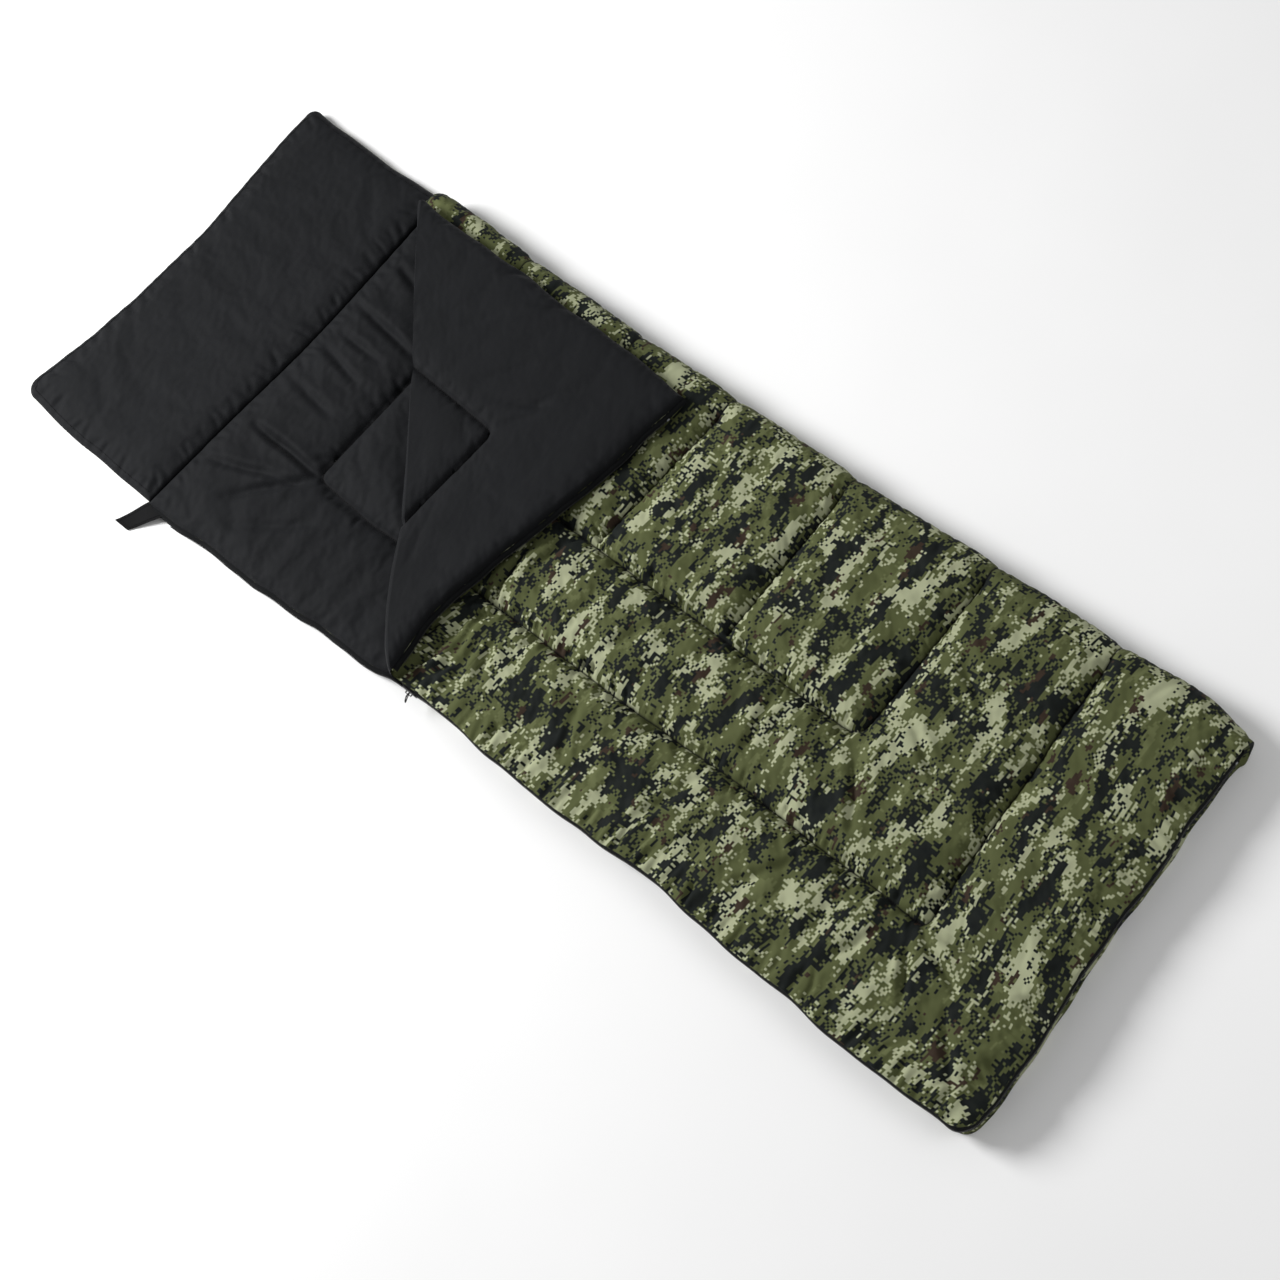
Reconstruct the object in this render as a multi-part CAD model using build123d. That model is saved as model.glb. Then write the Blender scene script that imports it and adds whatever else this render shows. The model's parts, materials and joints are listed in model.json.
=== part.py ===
from build123d import *
import math
import os

# A rectangular sleeping bag lying flat on its back, with a hood panel past the shoulders.
# Frame: millimetres, +Z up, +Y towards the hood, -X the zip side, +X the closed side.
# The origin is on the floor, at the centre of the flat outline.

os.makedirs("parts", exist_ok=True)

# ---- driving dimensions --------------------------------------------------------------------
TOTAL_LENGTH = 2250.0
WIDTH = 750.0
HOOD_LENGTH = 373.0
QUILT = 30.0  # one quilt: outer shell, insulation and lining
SKIN = 1.0  # outer shell or lining
SLEEP_GAP = 8.0  # the flattened space for the sleeper
WALL = 18.0  # upright edge of a quilt, counted from its outer face
BEVEL = 40.0  # how far in from the edge the lining slopes
FOLD_ANGLE = 42.5  # the flap's fold line against the width
FOLD_GAP = 0.7  # between the top quilt's outside and the folded-back flap
CUT_GAP = 0.5  # between two bodies that meet at a cut
ROLL_SPLIT = 0.7  # between the two halves of the closed side's rounded fold
HEAD_SETBACK = 12.0  # the mouth's upper edge stands back from the hood seam

TAPE = 1.5  # zip tape thickness
TAPE_OVERLAP = 6.0  # tape sewn onto the quilt's upright edge
COIL_WIDE = 3.0
COIL_HIGH = 2.0
COIL_GAP = 1.2  # between the two closed coils
ZIP_END_X = 330.0  # the foot zip stops short of the closed corner
STOP_LENGTH = 6.0
STOP_TO_TAB = 14.0  # the chain ends short of the webbing tab
END_STOP_HIGH = 4.7

SLIDER_LENGTH = 32.0
SLIDER_HIGH = 12.0
SLIDER_PAST_FOLD = 5.0
PLATE = 1.75  # slider plate thickness
PLATE_CLEAR = 1.0  # from a coil to a slider plate
PLATE_CORNER = 3.0
FLANGE = 0.6
FLANGE_HIGH = 1.0
FLANGE_SHORT = 4.0  # the flanges stop short of the plate's narrow end
POST_THICK = 0.6
POST_LONG = 8.0
POST_SETBACK = 2.0
BAIL_REACH = 4.4
BAIL_SPAN = 14.0
BAIL_WIRE = 1.2
BAIL_WIDE = 3.0
PULL_WIRE = 0.7  # radius
PULL_LONG = 15.0
PULL_WIDE = 11.0
PULL_ROUND = 2.2

TAB_WIDE = 32.0
TAB_LONG = 56.0
TAB_THICK = 2.0
TAB_ROOT = 4.0  # the sewn end, outside the quilt's edge
TAB_HINGE_GAP = 1.4  # lets the tab turn up beside its sewn end
TAB_PAST_MOUTH = 2.0
TAB_SKEW = 20.0  # the tab leans towards the hood
TAB_TAPER = 4.0
TAB_DROOP = 5.0  # degrees

THREAD_WIDE = 1.6
THREAD_HIGH = 0.2
STITCH_ROUND = 30.0  # radius of a quilting line's corner
OUTER_LINE_INSET = 192.0  # from the zip side to the outer quilting line
OUTER_HEAD_INSET = 242.0  # from the hood seam
OUTER_FOOT_INSET = 262.0  # from the foot
INNER_LINE_X = 10.0
INNER_STEP = 275.0  # from the outer to the inner line at the foot
CROSS_STEP = 285.0
INNER_HEAD_STEP = 225.0  # from the last cross line to the inner line at the head
CROSS_START = 8.0  # cross lines start beside the inner line
HOOD_STITCH_INSET = 44.0

# ---- places worked out from them -----------------------------------------------------------
FOOT_Y = -TOTAL_LENGTH / 2
HOOD_END_Y = TOTAL_LENGTH / 2
SEAM_Y = HOOD_END_Y - HOOD_LENGTH
MOUTH_Y = SEAM_Y - HEAD_SETBACK
ZIP_X = -WIDTH / 2
CLOSED_X = WIDTH / 2
TOP_Z = 2 * QUILT + SLEEP_GAP
MID_Z = TOP_Z / 2
ROLL_X = CLOSED_X - MID_Z  # centre of the closed side's rounded fold
BOTTOM_LINING_Z = QUILT
TOP_LINING_Z = QUILT + SLEEP_GAP

FOLD_DIRECTION = Vector(math.cos(math.radians(FOLD_ANGLE)), math.sin(math.radians(FOLD_ANGLE)), 0)
FOLD_NORMAL = Vector(-FOLD_DIRECTION.Y, FOLD_DIRECTION.X, 0)  # towards the corner that folds
FOLD_HEAD = Vector(ROLL_X, MOUTH_Y, TOP_Z + FOLD_GAP / 2)
FOLD_AXIS = Axis(FOLD_HEAD, FOLD_DIRECTION)
FOLD_ZIP_Y = MOUTH_Y - (ROLL_X - ZIP_X) * math.tan(math.radians(FOLD_ANGLE))

COIL_X = ZIP_X - TAPE / 2
COIL_Y = FOOT_Y - TAPE / 2
LOWER_COIL_Z = MID_Z - COIL_GAP / 2 - COIL_HIGH
UPPER_COIL_Z = MID_Z + COIL_GAP / 2
TAB_Y = MOUTH_Y + TAB_PAST_MOUTH - TAB_WIDE / 2
STOP_Y = TAB_Y - TAB_WIDE / 2 - STOP_TO_TAB
SLIDER_Y = FOLD_ZIP_Y + SLIDER_PAST_FOLD
FLAP_ZIP_Y = SLIDER_Y + SLIDER_LENGTH / 2 + STOP_TO_TAB  # the flap's zip starts clear of the slider

SIDES = {"zip": (-1, 0), "closed": (1, 0), "foot": (0, -1), "head": (0, 1)}


# ---- helpers -------------------------------------------------------------------------------
def block(x_range, y_range, z_range):
    """An upright box between three pairs of limits, each given low first."""
    size = [high - low for low, high in (x_range, y_range, z_range)]
    corner = Pos(x_range[0], y_range[0], z_range[0])
    return corner * Box(*size, align=(Align.MIN, Align.MIN, Align.MIN))


def keep_behind(shape, point, normal):
    """What is left of a shape behind the plane through point, or None."""
    left = split(shape, bisect_by=Plane(origin=point, z_dir=normal), keep=Keep.BOTTOM)
    return left if left and left.solids() else None


def solids_of(shapes):
    return [solid for shape in shapes if shape is not None for solid in shape.solids()]


def save(name, *shapes):
    """Writes one node from its separate solids."""
    solids = solids_of(shapes)
    node = solids[0] if len(solids) == 1 else Compound(children=solids)
    export_step(node, f"parts/{name}.step")


class Quilt:
    """A padded layer: an outer shell, insulation and a lining that slopes down to the edges.

    outer_z is the level of the shell's outside and inner_z that of the lining's. The walls are
    the sides where the shell turns up; the other sides run on into the next piece.
    """

    def __init__(self, x_range, y_range, outer_z, inner_z, walls, wall=WALL):
        self.x_range, self.y_range = x_range, y_range
        self.outer_z, self.inner_z = outer_z, inner_z
        self.walls, self.wall = walls, wall
        self.up = 1 if inner_z > outer_z else -1

    def limits(self, inset):
        """The outline's limits, moved in by inset at each wall."""
        moved = {side: inset if side in self.walls else 0 for side in SIDES}
        x_range = (self.x_range[0] + moved["zip"], self.x_range[1] - moved["closed"])
        y_range = (self.y_range[0] + moved["foot"], self.y_range[1] - moved["head"])
        return x_range, y_range

    def form(self, inset):
        """The whole quilt as one convex solid, moved in by inset."""
        x_range, y_range = self.limits(inset)
        levels = sorted((self.outer_z + self.up * inset, self.inner_z - self.up * inset))
        body = block(x_range, y_range, levels)
        rise = QUILT - self.wall
        corner = {
            "zip": (self.x_range[0], self.y_range[0]),
            "foot": (self.x_range[0], self.y_range[0]),
            "closed": (self.x_range[1], self.y_range[1]),
            "head": (self.x_range[1], self.y_range[1]),
        }
        for side in self.walls:
            out_x, out_y = SIDES[side]
            normal = Vector(out_x * rise, out_y * rise, self.up * BEVEL).normalized()
            edge = Vector(*corner[side], self.outer_z + self.up * self.wall) - normal * inset
            body = keep_behind(body, edge, normal)
        return body

    def shell(self):
        """The shell as a flat plate with an upright strip along each wall."""
        (x0, x1), (y0, y1) = self.x_range, self.y_range
        plate = sorted((self.outer_z, self.outer_z + self.up * SKIN))
        strip = sorted((self.outer_z + self.up * SKIN, self.outer_z + self.up * self.wall))
        (in_x0, in_x1), _ = self.limits(SKIN)
        strips = {
            "zip": ((x0, x0 + SKIN), (y0, y1)),
            "closed": ((x1 - SKIN, x1), (y0, y1)),
            "foot": ((in_x0, in_x1), (y0, y0 + SKIN)),
            "head": ((in_x0, in_x1), (y1 - SKIN, y1)),
        }
        return [block((x0, x1), (y0, y1), plate)] + [block(*strips[side], strip) for side in self.walls]

    def insulation(self):
        return [self.form(SKIN)]

    def lining(self):
        """The skin from the shell's upper edge over the slopes and the flat inside."""
        skin = self.form(0) - self.form(SKIN)
        seam = Vector(0, 0, self.outer_z + self.up * self.wall)
        return [keep_behind(skin, seam, Vector(0, 0, -self.up))]


def stays(shapes):
    """What of the top quilt stays in place, at the foot side of the flap's fold line."""
    return [keep_behind(shape, FOLD_HEAD, FOLD_NORMAL) for shape in shapes if shape]


def folds_back(shapes):
    """What of the top quilt is the flap, turned over its fold line onto the quilt's outside."""
    start = FOLD_HEAD + FOLD_NORMAL * CUT_GAP
    cut = [keep_behind(shape, start, -FOLD_NORMAL) for shape in shapes if shape]
    return [shape.rotate(FOLD_AXIS, 180) for shape in cut if shape]


def quarter_roll(inner, outer, upper):
    """A quarter of the closed side's rounded fold, between two radii, below or above the middle."""
    level = (outer + ROLL_SPLIT) / 2 * (1 if upper else -1)
    window = Pos(outer / 2, level) * Rectangle(outer, outer)
    section = (Circle(outer) - Circle(inner)) & window
    head_plane = Plane(origin=(ROLL_X, MOUTH_Y, MID_Z), x_dir=(1, 0, 0), z_dir=(0, -1, 0))
    return extrude(head_plane * section, MOUTH_Y - FOOT_Y)


def stitch_run(path, level):
    """Sewing thread along a flat path, standing on the given level."""
    outline = offset(path, THREAD_WIDE / 2, side=Side.BOTH)
    return Pos(0, 0, level) * extrude(make_face(outline.edges()), THREAD_HIGH)


def stitch_lines(corners_of_lines, level):
    """Quilting lines; each is a list of points, with its corners rounded."""
    runs = []
    for points in corners_of_lines:
        straight = len(points) == 2
        path = Polyline(*points) if straight else FilletPolyline(*points, radius=STITCH_ROUND)
        runs.append(stitch_run(path, level))
    return runs


# ---- the quilts ----------------------------------------------------------------------------
BODY_X = (ZIP_X, ROLL_X)
bottom = Quilt(BODY_X, (FOOT_Y, SEAM_Y), 0, BOTTOM_LINING_Z, ("zip", "foot", "head"))
top = Quilt(BODY_X, (FOOT_Y, MOUTH_Y), TOP_Z, TOP_LINING_Z, ("zip", "foot", "head"))
HOOD_Y = (SEAM_Y + CUT_GAP, HOOD_END_Y)
hood = Quilt((ZIP_X, CLOSED_X), HOOD_Y, 0, QUILT, ("zip", "closed", "foot", "head"))

save("bottom_outer_shell", *bottom.shell())
save("bottom_insulation", *bottom.insulation())
save("bottom_lining", *bottom.lining())

save("top_outer_shell", *stays(top.shell()))
save("top_insulation", *stays(top.insulation()))
save("top_lining", *stays(top.lining()))

save("flap_outer_shell", *folds_back(top.shell()))
save("flap_insulation", *folds_back(top.insulation()))
save("flap_lining", *folds_back(top.lining()))

save("hood_outer_shell", *hood.shell())
save("hood_insulation", *hood.insulation())
save("hood_lining", *hood.lining())

# ---- the closed side: the quilt turns over in a rounded fold ---------------------------------
LINING_RADIUS = SLEEP_GAP / 2
for place, upper in (("lower", False), ("upper", True)):
    save(f"side_fold_shell_{place}", quarter_roll(MID_Z - SKIN, MID_Z, upper))
    save(f"side_fold_insulation_{place}", quarter_roll(LINING_RADIUS + SKIN, MID_Z - SKIN, upper))
    save(f"side_fold_lining_{place}", quarter_roll(LINING_RADIUS, LINING_RADIUS + SKIN, upper))

# ---- the zip: tapes on the quilts' edges, coils on the tapes ---------------------------------
TAPE_X = (ZIP_X - TAPE, ZIP_X)
TAPE_Y = (FOOT_Y - TAPE, FOOT_Y)
COIL_X_RANGE = (COIL_X - COIL_WIDE / 2, COIL_X + COIL_WIDE / 2)
COIL_Y_RANGE = (COIL_Y - COIL_WIDE / 2, COIL_Y + COIL_WIDE / 2)
LOWER_TAPE_Z = (WALL - TAPE_OVERLAP, LOWER_COIL_Z)
UPPER_TAPE_Z = (UPPER_COIL_Z + COIL_HIGH, TOP_Z - WALL + TAPE_OVERLAP)
LOWER_COIL = (LOWER_COIL_Z, LOWER_COIL_Z + COIL_HIGH)
UPPER_COIL = (UPPER_COIL_Z, UPPER_COIL_Z + COIL_HIGH)
COIL_END_X = ZIP_END_X - STOP_LENGTH


def tape_round_foot(head_y, levels):
    """Zip tape along the zip side and round the foot edge."""
    side = block(TAPE_X, (TAPE_Y[0], head_y), levels)
    foot = block((ZIP_X, ZIP_END_X), TAPE_Y, levels)
    return side, foot


def coil_round_foot(head_y, levels):
    """Zip coil along the zip side and round the foot edge."""
    side = block(COIL_X_RANGE, (COIL_Y_RANGE[0], head_y), levels)
    foot = block((COIL_X_RANGE[1], COIL_END_X), COIL_Y_RANGE, levels)
    return side, foot


save("zip_tape_bottom", *tape_round_foot(MOUTH_Y, LOWER_TAPE_Z))
save("zip_coil_bottom", *coil_round_foot(STOP_Y, LOWER_COIL))
save("zip_tape_top", *tape_round_foot(FOLD_ZIP_Y, UPPER_TAPE_Z))
save("zip_coil_top", *coil_round_foot(FOLD_ZIP_Y, UPPER_COIL))
save("zip_tape_flap", *folds_back([block(TAPE_X, (FLAP_ZIP_Y, MOUTH_Y), UPPER_TAPE_Z)]))
save("zip_coil_flap", *folds_back([block(COIL_X_RANGE, (FLAP_ZIP_Y, STOP_Y), UPPER_COIL)]))

STOP_SPAN = (STOP_Y, STOP_Y + STOP_LENGTH)
save("zip_top_stop_bottom", block(COIL_X_RANGE, STOP_SPAN, LOWER_COIL))
save("zip_top_stop_flap", *folds_back([block(COIL_X_RANGE, STOP_SPAN, UPPER_COIL)]))
end_stop_z = (LOWER_COIL_Z, LOWER_COIL_Z + END_STOP_HIGH)
save("zip_end_stop", block((COIL_END_X, ZIP_END_X), COIL_Y_RANGE, end_stop_z))

# ---- the slider: two plates joined by a thin post between the coils --------------------------
PLATE_Z = (MID_Z - SLIDER_HIGH / 2, MID_Z + SLIDER_HIGH / 2)
OUTER_FACE_X = COIL_X_RANGE[0] - PLATE_CLEAR
INNER_FACE_X = COIL_X_RANGE[1] + PLATE_CLEAR
SLIDER_SPAN = (SLIDER_Y - SLIDER_LENGTH / 2, SLIDER_Y + SLIDER_LENGTH / 2)

def slider_plate(inner_x, outer_x):
    """A shield-shaped plate, narrower at its foot end."""
    low, high = sorted((inner_x, outer_x))
    plate = block((low, high), SLIDER_SPAN, PLATE_Z)
    narrow_end = plate.faces().sort_by(Axis.Y)[0]
    return chamfer(narrow_end.edges().filter_by(Axis.X), PLATE_CORNER)


outer_plate = slider_plate(OUTER_FACE_X, OUTER_FACE_X - PLATE)
inner_plate = slider_plate(INNER_FACE_X, INNER_FACE_X + PLATE)
post_end = SLIDER_SPAN[1] - POST_SETBACK
post_z = (MID_Z - POST_THICK / 2, MID_Z + POST_THICK / 2)
post = block((OUTER_FACE_X, INNER_FACE_X), (post_end - POST_LONG, post_end), post_z)
flange_x = (OUTER_FACE_X, OUTER_FACE_X + FLANGE)
flange_y = (SLIDER_SPAN[0] + FLANGE_SHORT, SLIDER_SPAN[1])
lower_flange = block(flange_x, flange_y, (PLATE_Z[0], PLATE_Z[0] + FLANGE_HIGH))
upper_flange = block(flange_x, flange_y, (PLATE_Z[1] - FLANGE_HIGH, PLATE_Z[1]))
save("slider_body", outer_plate + inner_plate + post + lower_flange + upper_flange)

# The bail is an arch on the outer plate; the wire pull hangs in it.
BAIL_FOOT_X = OUTER_FACE_X - PLATE
BAIL_TOP_X = BAIL_FOOT_X - BAIL_REACH
bail_y = (SLIDER_Y - BAIL_SPAN / 2, SLIDER_Y + BAIL_SPAN / 2)
hole_y = (bail_y[0] + BAIL_WIRE, bail_y[1] - BAIL_WIRE)
bail_z = (MID_Z - BAIL_WIDE / 2, MID_Z + BAIL_WIDE / 2)
bail_outer = block((BAIL_TOP_X, BAIL_FOOT_X), bail_y, bail_z)
bail_hole = block((BAIL_TOP_X + BAIL_WIRE, BAIL_FOOT_X), hole_y, bail_z)
save("slider_bail", bail_outer - bail_hole)

PULL_PIVOT_X = BAIL_FOOT_X - (BAIL_REACH - BAIL_WIRE) / 2
pull_half = PULL_WIDE / 2 - PULL_WIRE
pull_corners = [(0, -pull_half), (0, pull_half), (PULL_LONG, pull_half), (PULL_LONG, -pull_half)]
pull_plane = Plane(origin=(PULL_PIVOT_X, SLIDER_Y, MID_Z), x_dir=(-1, 0, 0), z_dir=(0, 1, 0))
pull_path = pull_plane * FilletPolyline(*pull_corners, radius=PULL_ROUND, close=True)
pull_start = Plane(origin=pull_path @ 0, z_dir=pull_path % 0)
save("zip_pull", sweep(pull_start * Circle(PULL_WIRE), path=pull_path))

# ---- the webbing tab at the mouth's zip corner ------------------------------------------------
TAB_Z = WALL / 2
tab_levels = (TAB_Z - TAB_THICK / 2, TAB_Z + TAB_THICK / 2)
tab_span = (TAB_Y - TAB_WIDE / 2, TAB_Y + TAB_WIDE / 2)
save("tab_sewn_end", block((ZIP_X - TAB_ROOT, ZIP_X), tab_span, tab_levels))
TAB_HINGE_X = ZIP_X - TAB_ROOT - TAB_HINGE_GAP
tab_far_x = TAB_HINGE_X - TAB_LONG
tab_outline = make_face(Polyline(
    (TAB_HINGE_X, tab_span[0]),
    (TAB_HINGE_X, tab_span[1]),
    (tab_far_x, tab_span[1] + TAB_SKEW),
    (tab_far_x, tab_span[0] + TAB_SKEW + TAB_TAPER),
    close=True,
))
tab = Pos(0, 0, tab_levels[0]) * extrude(tab_outline, TAB_THICK)
save("webbing_tab", tab.rotate(Axis((TAB_HINGE_X, 0, TAB_Z), (0, -1, 0)), TAB_DROOP))

# ---- quilting: lines sewn through shell, insulation and lining --------------------------------
OUTER_LINE_X = ZIP_X + OUTER_LINE_INSET
OUTER_HEAD_Y = SEAM_Y - OUTER_HEAD_INSET
OUTER_FOOT_Y = FOOT_Y + OUTER_FOOT_INSET
INNER_FOOT_Y = OUTER_FOOT_Y + INNER_STEP
CROSS_Y = [INNER_FOOT_Y + step * CROSS_STEP for step in (1, 2)]
INNER_HEAD_Y = CROSS_Y[-1] + INNER_HEAD_STEP
THREAD_END_X = ROLL_X - 1


def loop_corners(line_x, foot_y, head_y):
    """A quilting line that leaves the closed side, runs up the bag at line_x and comes back."""
    return [(THREAD_END_X, foot_y), (line_x, foot_y), (line_x, head_y), (THREAD_END_X, head_y)]


outer_loop = loop_corners(OUTER_LINE_X, OUTER_FOOT_Y, OUTER_HEAD_Y)
inner_loop = loop_corners(INNER_LINE_X, INNER_FOOT_Y, INNER_HEAD_Y)
cross_lines = [[(INNER_LINE_X + CROSS_START, y), (THREAD_END_X, y)] for y in CROSS_Y]
quilting = [outer_loop, inner_loop] + cross_lines
top_thread = stitch_lines(quilting, TOP_Z)
flap_thread = stitch_lines(quilting, TOP_LINING_Z - THREAD_HIGH)
save("quilting_thread_bottom", *stitch_lines(quilting, BOTTOM_LINING_Z))
save("quilting_thread_top", *stays(top_thread))
save("quilting_thread_flap", *folds_back(flap_thread))

hood_x = (ZIP_X + HOOD_STITCH_INSET, CLOSED_X - HOOD_STITCH_INSET)
hood_y = (SEAM_Y + HOOD_STITCH_INSET, HOOD_END_Y - HOOD_STITCH_INSET)
hood_edge = [
    (hood_x[0], hood_y[0]),
    (hood_x[0], hood_y[1]),
    (hood_x[1], hood_y[1]),
    (hood_x[1], hood_y[0]),
]
save("hood_topstitching", *stitch_lines([hood_edge], QUILT))
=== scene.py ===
import json
import math

import bpy
import numpy as np
from mathutils import Matrix, Vector


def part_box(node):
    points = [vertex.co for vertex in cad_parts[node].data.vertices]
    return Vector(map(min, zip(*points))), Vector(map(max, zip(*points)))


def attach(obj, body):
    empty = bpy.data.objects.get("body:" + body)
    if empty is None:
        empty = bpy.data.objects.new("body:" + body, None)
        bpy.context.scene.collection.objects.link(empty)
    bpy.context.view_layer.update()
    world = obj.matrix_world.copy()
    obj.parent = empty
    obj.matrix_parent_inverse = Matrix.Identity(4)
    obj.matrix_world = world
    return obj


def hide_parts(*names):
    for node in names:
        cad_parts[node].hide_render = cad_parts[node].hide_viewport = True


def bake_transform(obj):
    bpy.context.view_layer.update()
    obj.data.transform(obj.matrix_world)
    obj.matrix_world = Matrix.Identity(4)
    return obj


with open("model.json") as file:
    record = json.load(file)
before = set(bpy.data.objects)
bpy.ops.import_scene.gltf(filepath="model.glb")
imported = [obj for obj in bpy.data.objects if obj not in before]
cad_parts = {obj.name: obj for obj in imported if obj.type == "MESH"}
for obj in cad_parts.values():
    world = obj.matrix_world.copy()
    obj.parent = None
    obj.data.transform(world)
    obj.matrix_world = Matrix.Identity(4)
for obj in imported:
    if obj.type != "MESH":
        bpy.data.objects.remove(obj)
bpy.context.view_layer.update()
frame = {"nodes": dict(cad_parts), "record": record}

# A quilted sleeping bag whose mouth corner is folded back. Metres, in the frame's own axes:
# +Y towards the hood, -X the zip side, +X the closed side, the floor at z = 0.
# "Flat" coordinates (u, v) are those of a quilt laid out before its edges are drawn in and its
# closed side is rolled over; they are also every cloth's UV map, in metres.

NODES = frame["nodes"]
JOINTS = {joint["name"]: joint for joint in frame["record"]["behaviour"]["joints"]}

# ---- places read from the frame --------------------------------------------------------------
(ZIP_X, FOOT_Y, _), (_, SEAM_Y, _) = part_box("bottom_outer_shell")
_, (CLOSED_X, HOOD_END_Y, _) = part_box("hood_outer_shell")
HINGE_X, _, MID_Z = JOINTS["top_opening"]["pos_m"]
ROLL_X, MOUTH_Y, FOLD_Z = JOINTS["flap_fold"]["pos_m"]
FOLD_DIRECTION = -np.array(JOINTS["flap_fold"]["axis"][:2])
FOLD_NORMAL = np.array([-FOLD_DIRECTION[1], FOLD_DIRECTION[0]])  # towards the corner that folds
FOLD_HEAD = np.array([ROLL_X, MOUTH_Y])
FOLD_SLOPE = FOLD_DIRECTION[1] / FOLD_DIRECTION[0]
ROLL_LENGTH = math.pi * MID_Z
SHEET_END_U = ROLL_X + ROLL_LENGTH
SEAM_BOTTOM_Z = 0.0165
SEAM_TOP_Z = 0.0485
FLAP_SEAM_Z = 2 * FOLD_Z - SEAM_TOP_Z
ZIP_END_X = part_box("zip_end_stop")[1][0]
_, SLIDER_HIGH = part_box("slider_body")
STOP_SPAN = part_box("zip_top_stop_bottom")

GRID = 0.004  # spacing of a finished cloth's grid
SIM_STEP = 0.007  # spacing of a simulated cloth's grid
PUFF = 0.012  # how far a full quilt rises above its seams, before it settles
SEAM_RISE = 0.006  # the steep part of that height, right beside a seam
SEAM_RISE_WIDTH = 0.0025
SWELL = 1.25  # how much fuller the top quilt's outside is
PUFF_WIDTH = 0.024  # how soon the puff is reached beside a seam
LINING_PUFF_WIDTH = 0.026  # the same on the bottom's lining and the hood
EDGE_WIDTH = 0.028  # how wide the round turn is along the bag's edges
TOP_BULGE = 0.0185  # how far that turn moves the top quilt's cloth outward
BOTTOM_BULGE = 0.011
PIXEL = 0.0039  # a square of the camouflage print
CREASE_SHADE_WIDTH = 0.0022  # half width of the painted shade along a line of stitches, in place of the shade in its tight crease


# ---- small tools -----------------------------------------------------------------------------
def smooth(value, low=0.0, high=1.0):
    """0 below low, 1 above high, an even S between them."""
    t = np.clip((value - low) / (high - low), 0, 1)
    return t * t * (3 - 2 * t)


def through(points, at):
    """A smooth line through listed points, read at the given places."""
    places, values = np.array(points, float).T
    slopes = np.gradient(values, places)
    at = np.clip(at, places[0], places[-1])
    i = np.clip(np.searchsorted(places, at) - 1, 0, len(places) - 2)
    width = places[i + 1] - places[i]
    t = (at - places[i]) / width
    keep = (1 + 2 * t) * (1 - t) ** 2 * values[i] + t * t * (3 - 2 * t) * values[i + 1]
    return keep + width * (t * (1 - t) ** 2 * slopes[i] - t * t * (1 - t) * slopes[i + 1])


def rounded(points, radius, steps=6):
    """A path of straight runs whose corners are rounded."""
    points = [np.array(p, float) for p in points]
    path = [points[0]]
    for before, corner, after in zip(points, points[1:], points[2:]):
        into = (before - corner) / np.linalg.norm(before - corner)
        out = (after - corner) / np.linalg.norm(after - corner)
        start, end = corner + into * radius, corner + out * radius
        for t in np.linspace(0, 1, steps + 1):
            path.append((1 - t) ** 2 * start + 2 * t * (1 - t) * corner + t * t * end)
    return np.array(path + [points[-1]])


def distance(u, v, path):
    """The distance of flat points from a path."""
    nearest = np.full(np.shape(u), np.inf)
    for (u0, v0), (u1, v1) in zip(path, path[1:]):
        du, dv = u1 - u0, v1 - v0
        along = np.clip(((u - u0) * du + (v - v0) * dv) / (du * du + dv * dv + 1e-12), 0, 1)
        nearest = np.minimum(nearest, np.hypot(u - u0 - along * du, v - v0 - along * dv))
    return nearest


def onto_lines(u, v, lines):
    """Moves the flat points nearest to lines of stitches right onto them."""
    for path in lines:
        nearest = np.full(np.shape(u), 0.55 * GRID)
        on_u, on_v = u.copy(), v.copy()
        for (u0, v0), (u1, v1) in zip(path, path[1:]):
            du, dv = u1 - u0, v1 - v0
            share = np.clip(((u - u0) * du + (v - v0) * dv) / (du * du + dv * dv + 1e-12), 0, 1)
            foot_u, foot_v = u0 + share * du, v0 + share * dv
            off = np.hypot(u - foot_u, v - foot_v)
            closer = off < nearest
            nearest = np.where(closer, off, nearest)
            on_u, on_v = np.where(closer, foot_u, on_u), np.where(closer, foot_v, on_v)
        u, v = on_u, on_v
    return u, v


def along(path, pitch):
    """Evenly spaced points on a path, each with its direction."""
    path = np.array(path)
    steps = np.linalg.norm(np.diff(path, axis=0), axis=1)
    length = np.concatenate([[0], np.cumsum(steps)])
    at = np.arange(pitch / 2, length[-1], pitch)
    points = np.stack([np.interp(at, length, axis) for axis in path.T], -1)
    ahead = np.stack([np.interp(at + pitch / 4, length, axis) for axis in path.T], -1)
    behind = np.stack([np.interp(at - pitch / 4, length, axis) for axis in path.T], -1)
    direction = ahead - behind
    return points, direction / np.linalg.norm(direction, axis=1, keepdims=True)


def fold_y(u):
    """Where the flap's fold line crosses a flat lengthwise line."""
    return MOUTH_Y - (ROLL_X - u) * FOLD_SLOPE


def past_fold(x, y):
    """How far a point lies past the fold line, on the side of the corner that folds."""
    return (x - FOLD_HEAD[0]) * FOLD_NORMAL[0] + (y - FOLD_HEAD[1]) * FOLD_NORMAL[1]


def folded(x, y):
    """The mirror image of flat points across the fold line."""
    off = past_fold(x, y)
    return x - 2 * off * FOLD_NORMAL[0], y - 2 * off * FOLD_NORMAL[1]


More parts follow.
